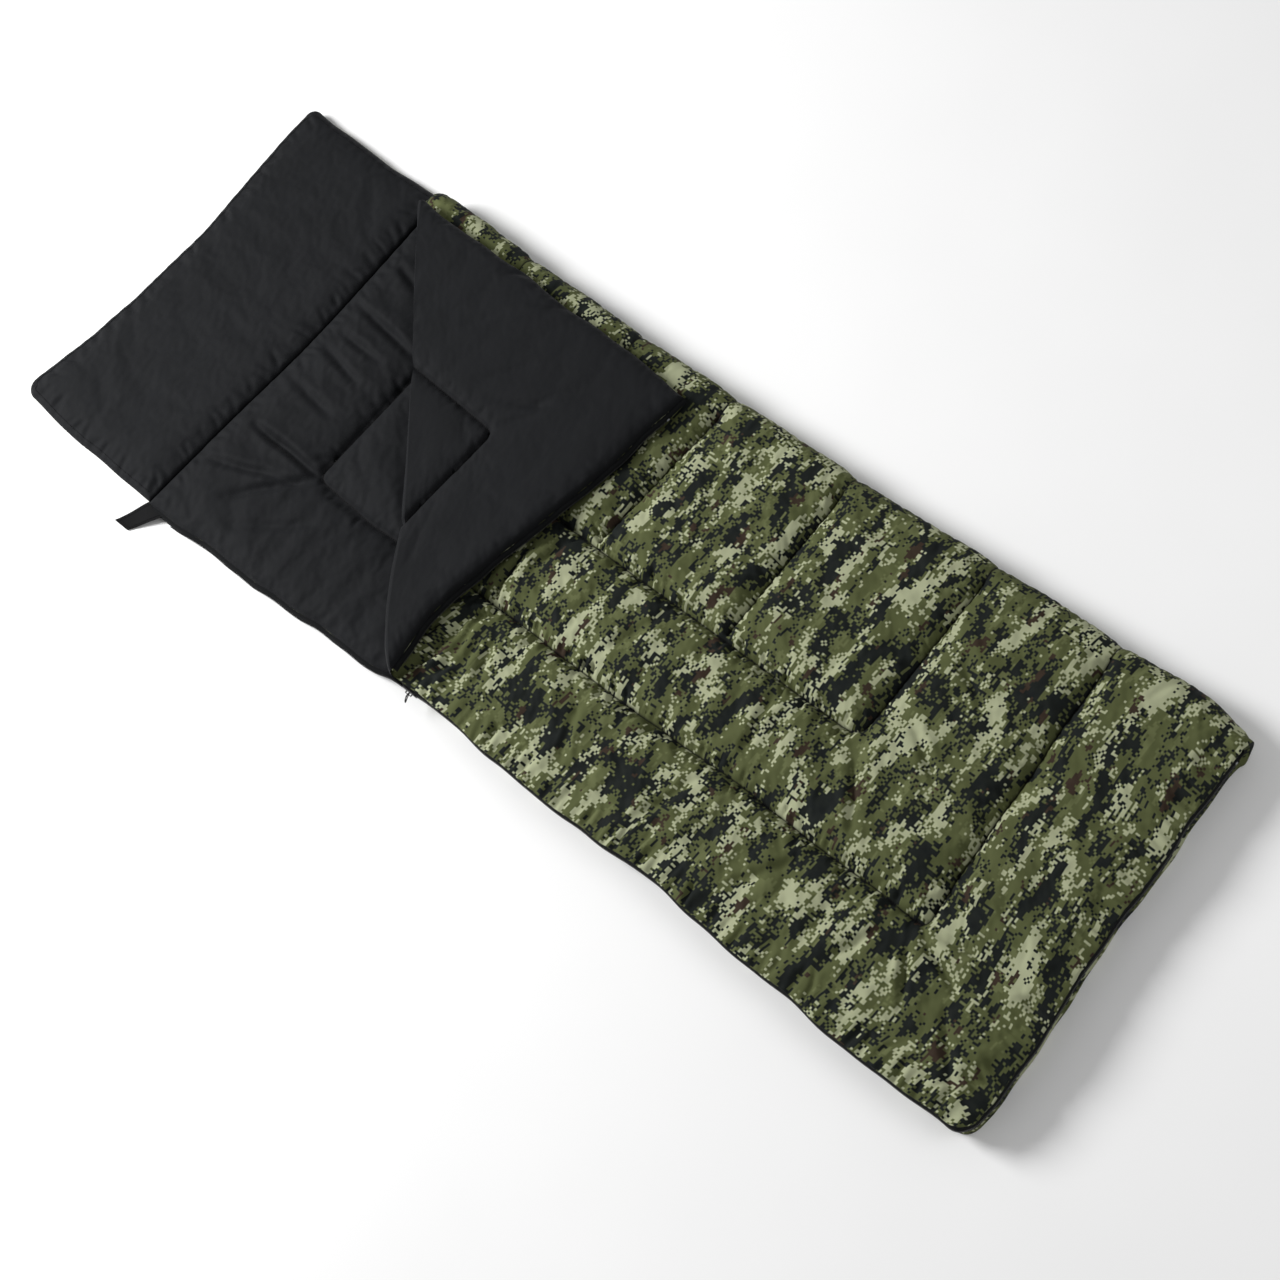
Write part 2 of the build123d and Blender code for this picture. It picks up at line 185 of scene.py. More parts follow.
# ---- where the quilting runs, in flat coordinates --------------------------------------------
STITCH_ROUND = 0.035
TIGHT_ROUND = 0.018
TOP_LINES = [
    rounded([(SHEET_END_U, -0.853), (-0.165, -0.886), (-0.178, 0.10), (-0.156, 0.33),
             (-0.149, 0.494), (SHEET_END_U, 0.486)], TIGHT_ROUND),
    rounded([(SHEET_END_U, -0.588), (0.010, -0.600), (0.010, 0.207), (SHEET_END_U, 0.207)], STITCH_ROUND),
    np.array([(0.020, -0.300), (SHEET_END_U, -0.290)]),
    np.array([(0.020, -0.003), (SHEET_END_U, -0.022)]),
]
BOTTOM_LINES = [
    rounded([(ROLL_X, -0.863), (-0.183, -0.863), (-0.180, 0.39), (-0.168, 0.531), (0.08, 0.524),
             (ROLL_X, 0.522)], TIGHT_ROUND),
    rounded([(ROLL_X, -0.588), (0.010, -0.588), (0.010, 0.207), (ROLL_X, 0.207)], STITCH_ROUND),
    np.array([(0.018, -0.303), (ROLL_X, -0.303)]),
    np.array([(0.018, -0.018), (ROLL_X, -0.018)]),
]
HOOD_SEAM = np.array([(ZIP_X, SEAM_Y), (CLOSED_X, SEAM_Y)])


# ---- cloth simulation ------------------------------------------------------------------------
class Settled:
    """A puffed cloth on a flat grid: how far each flat point has shifted, and its height."""

    def __init__(self, us, vs, lines, sides, slack, stiff, seed, width=PUFF_WIDTH):
        """sides are the edges sewn down: any of "zip", "closed", "foot", "head"."""
        self.us, self.vs, self.lines, self.sides = us, vs, lines, sides
        self.limits = us[0], us[-1], vs[0], vs[-1]
        u, v = np.meshgrid(us, vs)
        off_line = self.off_lines(u, v)
        off_seam = np.minimum(off_line, self.off_sides(u, v, sides))
        height = PUFF * (1 - np.exp(-off_seam / width))
        start = np.stack([u, v, height], -1)
        self.shift = start - start * [1, 1, 0]
        border = self.off_sides(u, v, ("zip", "closed", "foot", "head"))
        held = (off_seam < SIM_STEP * 0.5) | (border < 1e-6)
        rng = np.random.default_rng(seed)
        start[..., 2] += np.where(held, 0, rng.uniform(-0.0004, 0.0004, u.shape))
        settled = self.simulate(start, held, np.exp(-off_line / 0.03), slack, stiff)
        self.shift = settled - start * [1, 1, 0]

    def off_lines(self, u, v):
        """How far flat points are from the lines of stitches."""
        far = np.full(np.shape(u), 9.0)
        return np.minimum.reduce([distance(u, v, line) for line in self.lines] + [far])

    def off_sides(self, u, v, sides):
        """How far flat points are from the nearest of some of the sides."""
        west, east, south, north = self.limits
        off = {"zip": u - west, "closed": east - u, "foot": v - south, "head": north - v}
        return np.minimum.reduce([off[side] for side in sides])

    @staticmethod
    def simulate(start, held, near_line, slack, stiff, frames=20):
        rows, columns, _ = start.shape
        cloth = grid_object("settling", start, None)
        hold = cloth.vertex_groups.new(name="hold")
        full = cloth.vertex_groups.new(name="full")
        for i, (is_held, near) in enumerate(zip(held.ravel(), near_line.ravel())):
            hold.add([i], 1.0 if is_held else 0.008, "REPLACE")
            full.add([i], float(near), "REPLACE")
        modifier = cloth.modifiers.new("cloth", "CLOTH")
        settings = modifier.settings
        settings.vertex_group_mass = "hold"
        settings.vertex_group_shrink = "full"
        settings.shrink_min, settings.shrink_max = -slack / 5, -slack
        settings.quality = 4
        settings.mass = 0.15
        settings.tension_stiffness = settings.compression_stiffness = 20
        settings.shear_stiffness = 5
        settings.bending_stiffness = stiff
        settings.air_damping = 2
        settings.effector_weights.gravity = 0
        modifier.collision_settings.use_collision = False
        modifier.collision_settings.use_self_collision = False
        modifier.point_cache.frame_end = frames
        for number in range(1, frames + 1):
            bpy.context.scene.frame_set(number)
        bpy.context.view_layer.objects.active = cloth
        bpy.ops.object.modifier_apply(modifier=modifier.name)
        points = np.empty(rows * columns * 3)
        cloth.data.vertices.foreach_get("co", points)
        bpy.data.objects.remove(cloth)
        return points.reshape(rows, columns, 3)

    def at(self, u, v):
        """The shift and height at flat points: three arrays."""
        i = np.interp(u, self.us, np.arange(len(self.us)))
        j = np.interp(v, self.vs, np.arange(len(self.vs)))
        i0 = np.clip(i.astype(int), 0, len(self.us) - 2)
        j0 = np.clip(j.astype(int), 0, len(self.vs) - 2)
        a, b = (i - i0)[..., None], (j - j0)[..., None]
        low = self.shift[j0, i0] * (1 - a) + self.shift[j0, i0 + 1] * a
        high = self.shift[j0 + 1, i0] * (1 - a) + self.shift[j0 + 1, i0 + 1] * a
        mixed = low * (1 - b) + high * b
        off = np.maximum(np.minimum(self.off_lines(u, v), self.off_sides(u, v, self.sides)), 0)
        height = mixed[..., 2] + SEAM_RISE * (1 - np.exp(-off / SEAM_RISE_WIDTH))
        return mixed[..., 0], mixed[..., 1], height


def finer(field):
    """Doubles a settled grid with smooth midpoints, which takes the facets out of it."""
    for axis, name in ((0, "vs"), (1, "us")):
        grid = np.moveaxis(field.shift, axis, 0)
        padded = np.concatenate([grid[:1], grid, grid[-1:]])
        middle = (9 * (padded[1:-2] + padded[2:-1]) - padded[:-3] - padded[3:]) / 16
        result = np.empty((2 * len(grid) - 1,) + grid.shape[1:])
        result[::2], result[1::2] = grid, middle
        field.shift = np.moveaxis(result, 0, axis)
        stations = getattr(field, name)
        setattr(field, name, np.linspace(stations[0], stations[-1], len(result)))
    return field


def stations(low, high, step):
    return np.linspace(low, high, int(round((high - low) / step)) + 1)


# ---- building meshes -------------------------------------------------------------------------
def crease_shade_marks(u, v, lines):
    """1 on lines of stitches and 0 beside them: the mask of painted shade that darkens the colour there, in
    place of the shade in the tight crease.
    """
    off = np.minimum.reduce([distance(u, v, line) for line in lines])
    return np.exp(-((off / CREASE_SHADE_WIDTH) ** 2))


def grid_object(name, points, flat, close=False, marks=None):
    """A mesh of quads over rows and columns of points; flat gives its UV map, marks where painted shade
    darkens it along its seams.
    """
    rows, columns, _ = points.shape
    index = np.arange(rows * columns).reshape(rows, columns)
    if close:
        index = np.concatenate([index, index[:, :1]], 1)
    quads = np.stack([index[:-1, :-1], index[:-1, 1:], index[1:, 1:], index[1:, :-1]], -1).reshape(-1, 4)
    mesh = bpy.data.meshes.new(name)
    mesh.from_pydata(points.reshape(-1, 3).tolist(), [], quads.tolist())
    mesh.polygons.foreach_set("use_smooth", [True] * len(mesh.polygons))
    if flat is not None:
        layer = mesh.uv_layers.new(name="flat")
        layer.data.foreach_set("uv", flat.reshape(-1, 2)[quads.ravel()].ravel())
    if marks is not None:
        # the seam attribute holds the mask of painted shade along the lines of stitches, for the shade in
        # their creases
        seam = mesh.attributes.new("seam", "FLOAT", "POINT")
        seam.data.foreach_set("value", marks.ravel().astype(np.float32))
    piece = bpy.data.objects.new(name, mesh)
    bpy.context.scene.collection.objects.link(piece)
    return piece


def evened(values, reach):
    """Averages rows of values over a few neighbouring columns."""
    padded = np.pad(values, ((0, 0), (reach, reach)), "edge")
    total = np.cumsum(np.pad(padded, ((0, 0), (1, 0))), axis=1)
    return (total[:, 2 * reach + 1:] - total[:, :-2 * reach - 1]) / (2 * reach + 1)


def print_on(points, flat, turned_u, turned_v, reach=12):
    """The places of a grid in its print: where turned is 1, the cloth's real length counts."""
    def extra(axis, part, turned):
        real = np.linalg.norm(np.diff(points, axis=axis), axis=-1)
        step = np.diff(flat, axis=axis)
        length = np.maximum(np.linalg.norm(step, axis=-1), 1e-5)
        share = (np.clip(real / length, 0.4, 2.5) - 1) * np.delete(turned, 0, axis)
        total = np.cumsum(step[..., part] * share, axis=axis)
        return np.concatenate([total.take([0], axis) * 0, total], axis)
    across = extra(1, 0, turned_u)
    across = evened((across - across[:, [across.shape[1] // 2]]).T, reach).T
    return flat + np.stack([across, evened(extra(0, 1, turned_v), reach)], -1)


def many(name, shape, faces, places):
    """One object of many copies of a small shape; places are 4x4 matrices."""
    shape = np.array(shape, float)
    points, all_faces = [], []
    for number, place in enumerate(places):
        points.append(shape @ place[:3, :3].T + place[:3, 3])
        all_faces += [[index + number * len(shape) for index in face] for face in faces]
    mesh = bpy.data.meshes.new(name)
    mesh.from_pydata(np.concatenate(points).tolist(), [], all_faces)
    mesh.polygons.foreach_set("use_smooth", [True] * len(mesh.polygons))
    piece = bpy.data.objects.new(name, mesh)
    bpy.context.scene.collection.objects.link(piece)
    return piece


def frame_at(point, direction, up):
    """A matrix that stands a small shape at a point, its X along direction and its Z near up."""
    x = np.array(direction) / np.linalg.norm(direction)
    y = np.cross(up, x)
    y /= np.linalg.norm(y)
    place = np.eye(4)
    place[:3, 0], place[:3, 1], place[:3, 2], place[:3, 3] = x, y, np.cross(x, y), point
    return place


# ---- the bag's outline: how flat edges are drawn in and out ----------------------------------
ZIP_SIDE = [(-1.125, -0.384), (-0.92, -0.386), (-0.70, -0.380), (-0.45, -0.370), (-0.20, -0.379),
            (-0.05, -0.370), (0.10, -0.372), (0.25, -0.382), (0.45, -0.391), (0.60, -0.397),
            (0.755, -0.401)]
CLOSED_SIDE = [(-1.125, 0.376), (-1.04, 0.392), (-0.85, 0.386), (-0.60, 0.382), (-0.40, 0.373),
               (-0.10, 0.370), (0.10, 0.368), (0.45, 0.373), (0.74, 0.385)]
FOOT_SIDE = [(-0.375, -1.142), (-0.30, -1.147), (-0.15, -1.130), (0.0, -1.117), (0.20, -1.104),
             (0.375, -1.094)]
SEAM_LINE = [(-0.375, 0.768), (-0.20, 0.759), (0.0, 0.745), (0.20, 0.745), (0.375, 0.749)]
HOOD_END = [(-0.375, 1.158), (-0.19, 1.124), (0.06, 1.104), (0.20, 1.110), (0.375, 1.117)]
HOOD_ZIP_SIDE = [(0.75, -0.399), (0.95, -0.394), (1.125, -0.380)]
HOOD_CLOSED_SIDE = [(0.75, 0.378), (0.95, 0.376), (1.125, 0.388)]
CORNER = 0.030
TIGHT_CORNER = 0.022
RIPPLE = ((0.0020, 23, 0.4), (0.0012, 41, 2.1), (0.0006, 67, 4.4))


def ripple(t):
    """A slight unevenness along an edge."""
    return sum(size * np.sin(rate * t + phase) for size, rate, phase in RIPPLE)


def round_corner(x, y, corner_x, corner_y, radius):
    """Turns the square corner of a sheet at a place into a round one."""
    a, b = radius - abs(x - corner_x), radius - abs(y - corner_y)
    inside = (a > 0) & (b > 0)
    reach = np.where(inside, np.maximum(a, b) / np.maximum(np.hypot(a, b), 1e-9), 1)
    side_x, side_y = np.sign(-corner_x), np.sign(-corner_y)
    new_x = np.where(inside, corner_x + side_x * (radius - a * reach), x)
    new_y = np.where(inside, corner_y + side_y * (radius - b * reach), y)
    return new_x, new_y


def off_edges(u, v):
    """How far a flat place is from the zip and foot edges, and the way out to them."""
    side, foot = u - ZIP_X, v - FOOT_Y
    a, b = CORNER - side, CORNER - foot
    inside = (a > 0) & (b > 0)
    length = np.maximum(np.hypot(a, b), 1e-9)
    way = np.stack([np.where(inside, a / length, side < foot), np.where(inside, b / length, side >= foot)])
    return np.minimum(side, foot), -way


def edge_turn(off, bulge):
    """How far the round turn along an edge moves the cloth outward."""
    return bulge * np.sin(math.pi * np.clip(off / EDGE_WIDTH, 0, 1))


def outline(x, y):
    """Draws the flat body of the bag to its real, uneven outline."""
    x, y = round_corner(x, y, ZIP_X, FOOT_Y, CORNER)
    zip_part = smooth(-x, -0.02, -ZIP_X)
    closed_part = smooth(x, 0.05, CLOSED_X)
    foot_part = smooth(-y, 0.55, -FOOT_Y)
    head_part = smooth(y, 0.55, SEAM_Y)
    new_x = x + zip_part * (through(ZIP_SIDE, y) - ZIP_X + ripple(y))
    new_x = new_x + closed_part * (through(CLOSED_SIDE, y) - CLOSED_X + ripple(y + 3) / 2)
    new_y = y + foot_part * (through(FOOT_SIDE, x) - FOOT_Y + ripple(x + 5))
    new_y = new_y + head_part * (through(SEAM_LINE, x) - SEAM_Y) * (x < ROLL_X + 0.04)
    return new_x, new_y


def hood_outline(x, y):
    """Draws the flat hood panel to its real outline."""
    x, y = round_corner(x, y, ZIP_X, HOOD_END_Y, CORNER)
    x, y = round_corner(x, y, CLOSED_X, HOOD_END_Y, TIGHT_CORNER)
    zip_part = smooth(-x, 0.0, -ZIP_X)
    closed_part = smooth(x, 0.0, CLOSED_X)
    end_part = smooth(y, SEAM_Y, HOOD_END_Y)
    new_x = x + zip_part * (through(HOOD_ZIP_SIDE, y) - ZIP_X + ripple(y) * 0.5)
    new_x = new_x + closed_part * (through(HOOD_CLOSED_SIDE, y) - CLOSED_X + ripple(y + 1) * 0.7)
    new_y = y + end_part * (through(HOOD_END, x) - HOOD_END_Y + ripple(x + 2) / 2)
    new_y = new_y + (1 - end_part) * (through(SEAM_LINE, x) - SEAM_Y)
    return new_x, new_y


# The flap's free edges after it is folded: the zip edge bows towards the hood.
FLAP_BOW = [(-0.40, 0.020), (-0.30, 0.041), (-0.23, 0.051), (-0.15, 0.045), (-0.05, 0.033),
            (0.10, 0.021), (0.34, 0.010)]
HEAD_NARROWER = np.array([-0.008, -0.014])  # how far the flap draws in where its fold meets the roll
HEAD_REACH = 0.10  # how far from there that is felt
FLAP_CORNER_OUT = 0.028
FLAP_LIFT = 0.006
ZIP_EDGE_FROM = np.array(folded(ZIP_X, MOUTH_Y))
ZIP_EDGE_TO = np.array([ZIP_X, float(fold_y(ZIP_X))])


def flap_shift(x, y):
    """How the folded cloth differs from an exact mirror image: shifts along X, Y and Z."""
    run = (ZIP_EDGE_TO - ZIP_EDGE_FROM) / np.linalg.norm(ZIP_EDGE_TO - ZIP_EDGE_FROM)
    off_edge = abs((x - ZIP_EDGE_FROM[0]) * run[1] - (y - ZIP_EDGE_FROM[1]) * run[0])
    near_edge = np.exp(-((off_edge / 0.15) ** 2))
    right = smooth(x, -0.05, 0.28) * smooth(MOUTH_Y - y, 0.0, 0.75)
    lift = FLAP_LIFT * smooth(0.12 - x, 0, 0.2) * np.exp(-((off_edge / 0.05) ** 2))
    head = np.exp(-((np.hypot(x - FOLD_HEAD[0], y - FOLD_HEAD[1]) / HEAD_REACH) ** 2))
    return (right * FLAP_CORNER_OUT + head * HEAD_NARROWER[0],
            near_edge * through(FLAP_BOW, x) + head * HEAD_NARROWER[1], lift)


# ---- soft folds, listed: (from, to, half width, height), a negative height is a crease ---
TOP_FOLDS = [
    ((-0.185, -0.90), (-0.215, -0.985), 0.008, -0.010),
    ((-0.200, -0.88), (-0.285, -0.935), 0.008, -0.008),
    ((-0.165, -0.91), (-0.150, -1.000), 0.008, -0.008),
    ((-0.200, -0.84), (-0.300, -0.800), 0.009, -0.007),
    ((-0.110, -0.91), (-0.090, -0.960), 0.007, -0.006),
    ((-0.340, -1.07), (-0.250, -0.990), 0.009, -0.007),
    ((-0.210, -0.66), (-0.310, -0.600), 0.010, -0.006),
    ((-0.200, -0.44), (-0.330, -0.400), 0.010, -0.006),
    ((-0.210, -0.18), (-0.320, -0.230), 0.010, -0.006),
    ((-0.210, 0.02), (-0.330, -0.020), 0.010, -0.006),
    ((-0.020, -0.62), (-0.120, -0.700), 0.009, -0.008),
    ((-0.010, -0.44), (-0.130, -0.470), 0.009, -0.006),
    ((-0.010, -0.20), (-0.140, -0.150), 0.009, -0.006),
    ((0.160, -0.74), (0.200, -0.660), 0.009, -0.006),
    ((0.020, -0.76), (0.080, -0.660), 0.009, -0.006),
    ((-0.330, 0.045), (-0.180, 0.075), 0.008, -0.007),
    ((-0.345, 0.020), (-0.230, 0.035), 0.008, -0.006),
    ((-0.178, 0.040), (-0.225, 0.085), 0.010, -0.012),
    ((-0.215, 0.088), (-0.355, 0.068), 0.010, -0.012),
    ((-0.365, 0.058), (-0.290, 0.035), 0.007, -0.008),
    ((-0.362, 0.082), (-0.300, 0.062), 0.006, -0.007),
    ((-0.320, 0.100), (-0.240, 0.104), 0.006, -0.007),
    ((-0.160, 0.080), (-0.060, 0.085), 0.009, -0.009),
    ((-0.090, 0.050), (0.030, 0.035), 0.008, -0.006),
]
MOUTH_FOLDS = [
    ((-0.255, 0.730), (-0.200, 0.550), 0.009, -0.008),
    ((-0.160, 0.700), (-0.168, 0.535), 0.008, -0.014),
    ((-0.290, 0.640), (-0.175, 0.530), 0.010, -0.009),
    ((-0.180, 0.500), (-0.182, 0.400), 0.007, -0.006),
    ((0.120, 0.725), (0.100, 0.530), 0.009, -0.009),
    ((0.220, 0.715), (0.200, 0.620), 0.009, -0.007),
    ((0.020, 0.715), (0.000, 0.600), 0.009, -0.007),
    ((0.060, 0.710), (0.055, 0.590), 0.009, -0.007),
    ((-0.060, 0.720), (-0.075, 0.590), 0.009, -0.006),
    ((-0.330, 0.600), (-0.230, 0.450), 0.012, -0.005),
]


def crossing_folds(line, pitch, reach, width, depth, seed):
    """Short creases across a line, where its thread or its edge gathers the cloth."""
    rng = np.random.default_rng(seed)
    folds = []
    for (x, y), (dx, dy) in zip(*along(line, pitch)):
        lean, slip = rng.uniform(-0.6, 0.6), rng.uniform(-0.3, 0.3)
        half = reach / 2 * rng.uniform(0.5, 1.0)
        across = np.array([-dy + lean * dx, dx + lean * dy]) * half
        middle = np.array([x, y]) + across * slip + np.array([dx, dy]) * rng.uniform(-0.4, 0.4) * pitch
        folds.append((middle - across, middle + across, width * rng.uniform(0.7, 1.2),
                      -depth * rng.uniform(0.35, 1.0)))
    return folds


def soft_folds(folds, u, v):
    """The height that soft folds add at flat points."""
    added = np.zeros(np.shape(u))
    for (u0, v0), (u1, v1), width, height in folds:
        reach = 3.5 * width
        near = ((u > min(u0, u1) - reach) & (u < max(u0, u1) + reach)
                & (v > min(v0, v1) - reach) & (v < max(v0, v1) + reach))
        du, dv = u1 - u0, v1 - v0
        share = ((u[near] - u0) * du + (v[near] - v0) * dv) / (du * du + dv * dv)
        off = distance(u[near], v[near], [(u0, v0), (u1, v1)])
        taper = np.sin(math.pi * np.clip(0.1 + 0.8 * share, 0, 1))
        valley = np.exp(-((off / width) ** 2)) - 0.35 * np.exp(-((off / (2.0 * width)) ** 2))
        added[near] += 1.5 * height * taper * valley
    return added


def gathered(start, end, pitch, reach, width, depth, seed):
    """Crossing folds along one straight line."""
    return crossing_folds([start, end], pitch, reach, width, depth, seed)


ZIP_IN = ZIP_X + 0.02
for number, line in enumerate(TOP_LINES):
    TOP_FOLDS += crossing_folds(line, 0.014, 0.048, 0.0050, 0.0085, 10 + number)
for number, line in enumerate(BOTTOM_LINES):
    MOUTH_FOLDS += crossing_folds(line, 0.019, 0.045, 0.0060, 0.0040, 20 + number)
TOP_FOLDS += gathered((ZIP_X + 0.022, MOUTH_Y), (ZIP_X + 0.022, FOOT_Y), 0.020, 0.045, 0.006, 0.005, 30)
TOP_FOLDS += gathered((ZIP_X, FOOT_Y + 0.024), (ROLL_X, FOOT_Y + 0.024), 0.015, 0.055, 0.0055, 0.004, 31)
TOP_FOLDS += gathered((ROLL_X + 0.02, MOUTH_Y), (ROLL_X + 0.02, FOOT_Y), 0.010, 0.090, 0.0048, 0.0055, 32)
MOUTH_FOLDS += gathered((ZIP_X, SEAM_Y - 0.016), (ROLL_X, SEAM_Y - 0.016), 0.017, 0.045, 0.006, 0.0035, 33)
MOUTH_FOLDS += gathered((ZIP_IN, 0.1), (ZIP_IN, SEAM_Y), 0.040, 0.040, 0.009, 0.0018, 34)
HOOD_FOLDS = gathered((ZIP_X, SEAM_Y + 0.018), (CLOSED_X, SEAM_Y + 0.018), 0.018, 0.050, 0.006, 0.0035, 35)
HOOD_FOLDS += gathered((ZIP_IN, SEAM_Y), (ZIP_IN, HOOD_END_Y), 0.026, 0.045, 0.007, 0.004, 36)
HOOD_END_IN = HOOD_END_Y - 0.02
HOOD_FOLDS += gathered((ZIP_X, HOOD_END_IN), (CLOSED_X, HOOD_END_IN), 0.026, 0.045, 0.007, 0.004, 37)
SEEN_ON_FLAP = [
    ((0.096, 0.326), (0.143, 0.200), 0.011, -0.009),
    ((0.294, 0.486), (0.325, 0.423), 0.010, -0.007),
    ((0.271, 0.393), (0.306, 0.325), 0.010, -0.007),
    ((0.070, 0.270), (0.120, 0.215), 0.009, -0.007),
    ((0.100, 0.380), (0.185, 0.300), 0.011, -0.005),
    ((0.175, 0.470), (0.235, 0.420), 0.010, -0.005),
    ((0.235, 0.390), (0.290, 0.330), 0.010, -0.005),
    ((0.110, 0.560), (0.150, 0.550), 0.009, -0.006),
    ((0.120, 0.250), (0.210, 0.180), 0.012, -0.005),
    ((-0.120, 0.250), (-0.230, 0.190), 0.013, -0.004),
]
FLAP_FOLDS = [(folded(*start), folded(*end), width, height) for start, end, width, height in SEEN_ON_FLAP]
for number, line in enumerate(TOP_LINES):
    FLAP_FOLDS += crossing_folds(line, 0.022, 0.045, 0.006, 0.003, 40 + number)
FLAP_FOLDS += gathered((ZIP_IN, MOUTH_Y), (ZIP_IN, 0.0), 0.030, 0.045, 0.007, 0.0025, 45)


# ---- the settled cloths ----------------------------------------------------------------------
top_cloth = finer(Settled(
    stations(ZIP_X, SHEET_END_U, SIM_STEP), stations(FOOT_Y, MOUTH_Y, SIM_STEP),
    TOP_LINES, ("zip", "foot", "head"), slack=0.07, stiff=0.2, seed=1))
bottom_cloth = finer(Settled(
    stations(ZIP_X, ROLL_X, SIM_STEP), stations(FOOT_Y, SEAM_Y, SIM_STEP),
    BOTTOM_LINES, ("zip", "foot", "head"), slack=0.035, stiff=0.35, seed=2, width=LINING_PUFF_WIDTH))
hood_cloth = finer(Settled(
    stations(ZIP_X, CLOSED_X, SIM_STEP), stations(SEAM_Y, HOOD_END_Y, SIM_STEP),
    [], ("zip", "closed", "foot", "head"), slack=0.02, stiff=0.4, seed=3, width=LINING_PUFF_WIDTH))

CREASE = 0.003  # half width of the sharp valley at a line of stitches
SINK = 0.0022  # how far the thread pulls it in below the cloth's own seams


def settled_at(cloth, folds, u, v):
    """The shift and height of a quilt's cloth, drawn right down at its lines of stitches."""
    du, dv, height = cloth.at(u, v)
    off_line = cloth.off_lines(u, v)
    height = np.maximum(height + soft_folds(folds, u, v) * smooth(height, 0, 0.012), 0)
    return du, dv, height * (1 - np.exp(-(off_line / CREASE))) - SINK * np.exp(-((off_line / CREASE) ** 2))


def limited(height, most, scale):
    """Height that levels off below a limit."""
    return most * (1 - np.exp(-np.maximum(height, 0) / scale)) + np.minimum(height, 0)


TOP_LINING = (0.0155, 0.011)  # most depth of the top's lining below its seams, and how soon
UNDERSIDE = (SEAM_BOTTOM_Z, 0.003)
UNDER_FLAP = 0.0175  # most height of the top's shell under the flap
ROLL_HEIGHT = 0.019  # usual height on the closed side's roll, which evens out the quilting there
ROLL_EVEN = 0.8
NOSE_OUT = 0.012  # how far that end stands out past the mouth
NOSE = 0.024  # over what length the roll rounds off to its end at the mouth


def covered_by_flap(x, y):
    """1 well inside the folded-back flap's area, 0 outside it."""
    below_fold = -past_fold(x, y)
    run = (ZIP_EDGE_TO - ZIP_EDGE_FROM) / np.linalg.norm(ZIP_EDGE_TO - ZIP_EDGE_FROM)
    _, bow, _ = flap_shift(x, y)
    inside = -(x - ZIP_EDGE_FROM[0]) * run[1] + (y - ZIP_EDGE_FROM[1]) * run[0]
    inside = np.where(run[0] < 0, -inside, inside) - bow
    right = ZIP_EDGE_FROM[0] + (y - ZIP_EDGE_FROM[1]) / (MOUTH_Y - ZIP_EDGE_FROM[1]) * (
        ROLL_X - ZIP_EDGE_FROM[0]) + FLAP_CORNER_OUT - x
    return smooth(np.minimum(np.minimum(inside, below_fold), right), -0.015, 0.02)


def near_fold(x, y):
    """1 on the fold line, 0 well away from it on the side that stays."""
    return smooth(past_fold(x, y), -0.10, 0.0)


def top_shell_at(u, v):
    """The outer shell's top side and the closed side's roll, for u up to SHEET_END_U."""
    du, dv, height = settled_at(top_cloth, TOP_FOLDS, u, v)
    flat_x = np.minimum(u, ROLL_X)
    turned = np.maximum(u - ROLL_X, 0) / MID_Z
    cover = covered_by_flap(u, v) * (u < ROLL_X)
    pressed = limited(height, UNDER_FLAP, 0.008)
    height = cover * pressed + (1 - cover) * SWELL * np.minimum(height, 0.024)
    on_roll = smooth(u, ROLL_X - 0.03, ROLL_X + 0.02) * smooth(MOUTH_Y - v, -0.004, 0.012)
    height = height + on_roll * ROLL_EVEN * (ROLL_HEIGHT - height) * smooth(v - FOOT_Y, 0, 0.04)
    nose = np.sqrt(np.clip((MOUTH_Y - v) / NOSE, 0, 1) * (2 - np.clip((MOUTH_Y - v) / NOSE, 0, 1)))
    height = height - (1 - nose) * smooth(u, ROLL_X - 0.06, ROLL_X) * (height + 0.004)
    radius = SEAM_TOP_Z - MID_Z + 0.0008 + height
    x, y = outline(flat_x + du * (turned == 0), v + dv)
    shift_x, shift_y, _ = flap_shift(x, y)
    close = near_fold(x, y) * smooth(ROLL_X - u, 0, 0.08)
    off, out = off_edges(u, v)
    bulge = edge_turn(off, TOP_BULGE) * (1 - cover)
    x = x + radius * np.sin(turned) + bulge * out[0] + shift_x * close
    y = y + bulge * out[1] + shift_y * close
    y = y + NOSE_OUT * smooth(v, MOUTH_Y - 0.07, MOUTH_Y) * smooth(u, ROLL_X - 0.04, ROLL_X)
    return np.stack([x, y, MID_Z + radius * np.cos(turned)], -1)


def bottom_shell_at(u, v):
    """The outer shell's underside; u is the flat place above it on the bottom quilt."""
    _, _, height = settled_at(bottom_cloth, [], u, v)
    x, y = outline(u, v)
    depth = limited(np.maximum(height, 0), *UNDERSIDE)
    off, out = off_edges(u, v)
    bulge = edge_turn(off, BOTTOM_BULGE + ripple(v * 0.6 + u))
    x = x + bulge * out[0]
    y = y + bulge * out[1] + edge_turn(SEAM_Y - v, 0.004)
    return np.stack([x, y, SEAM_BOTTOM_Z - depth], -1)


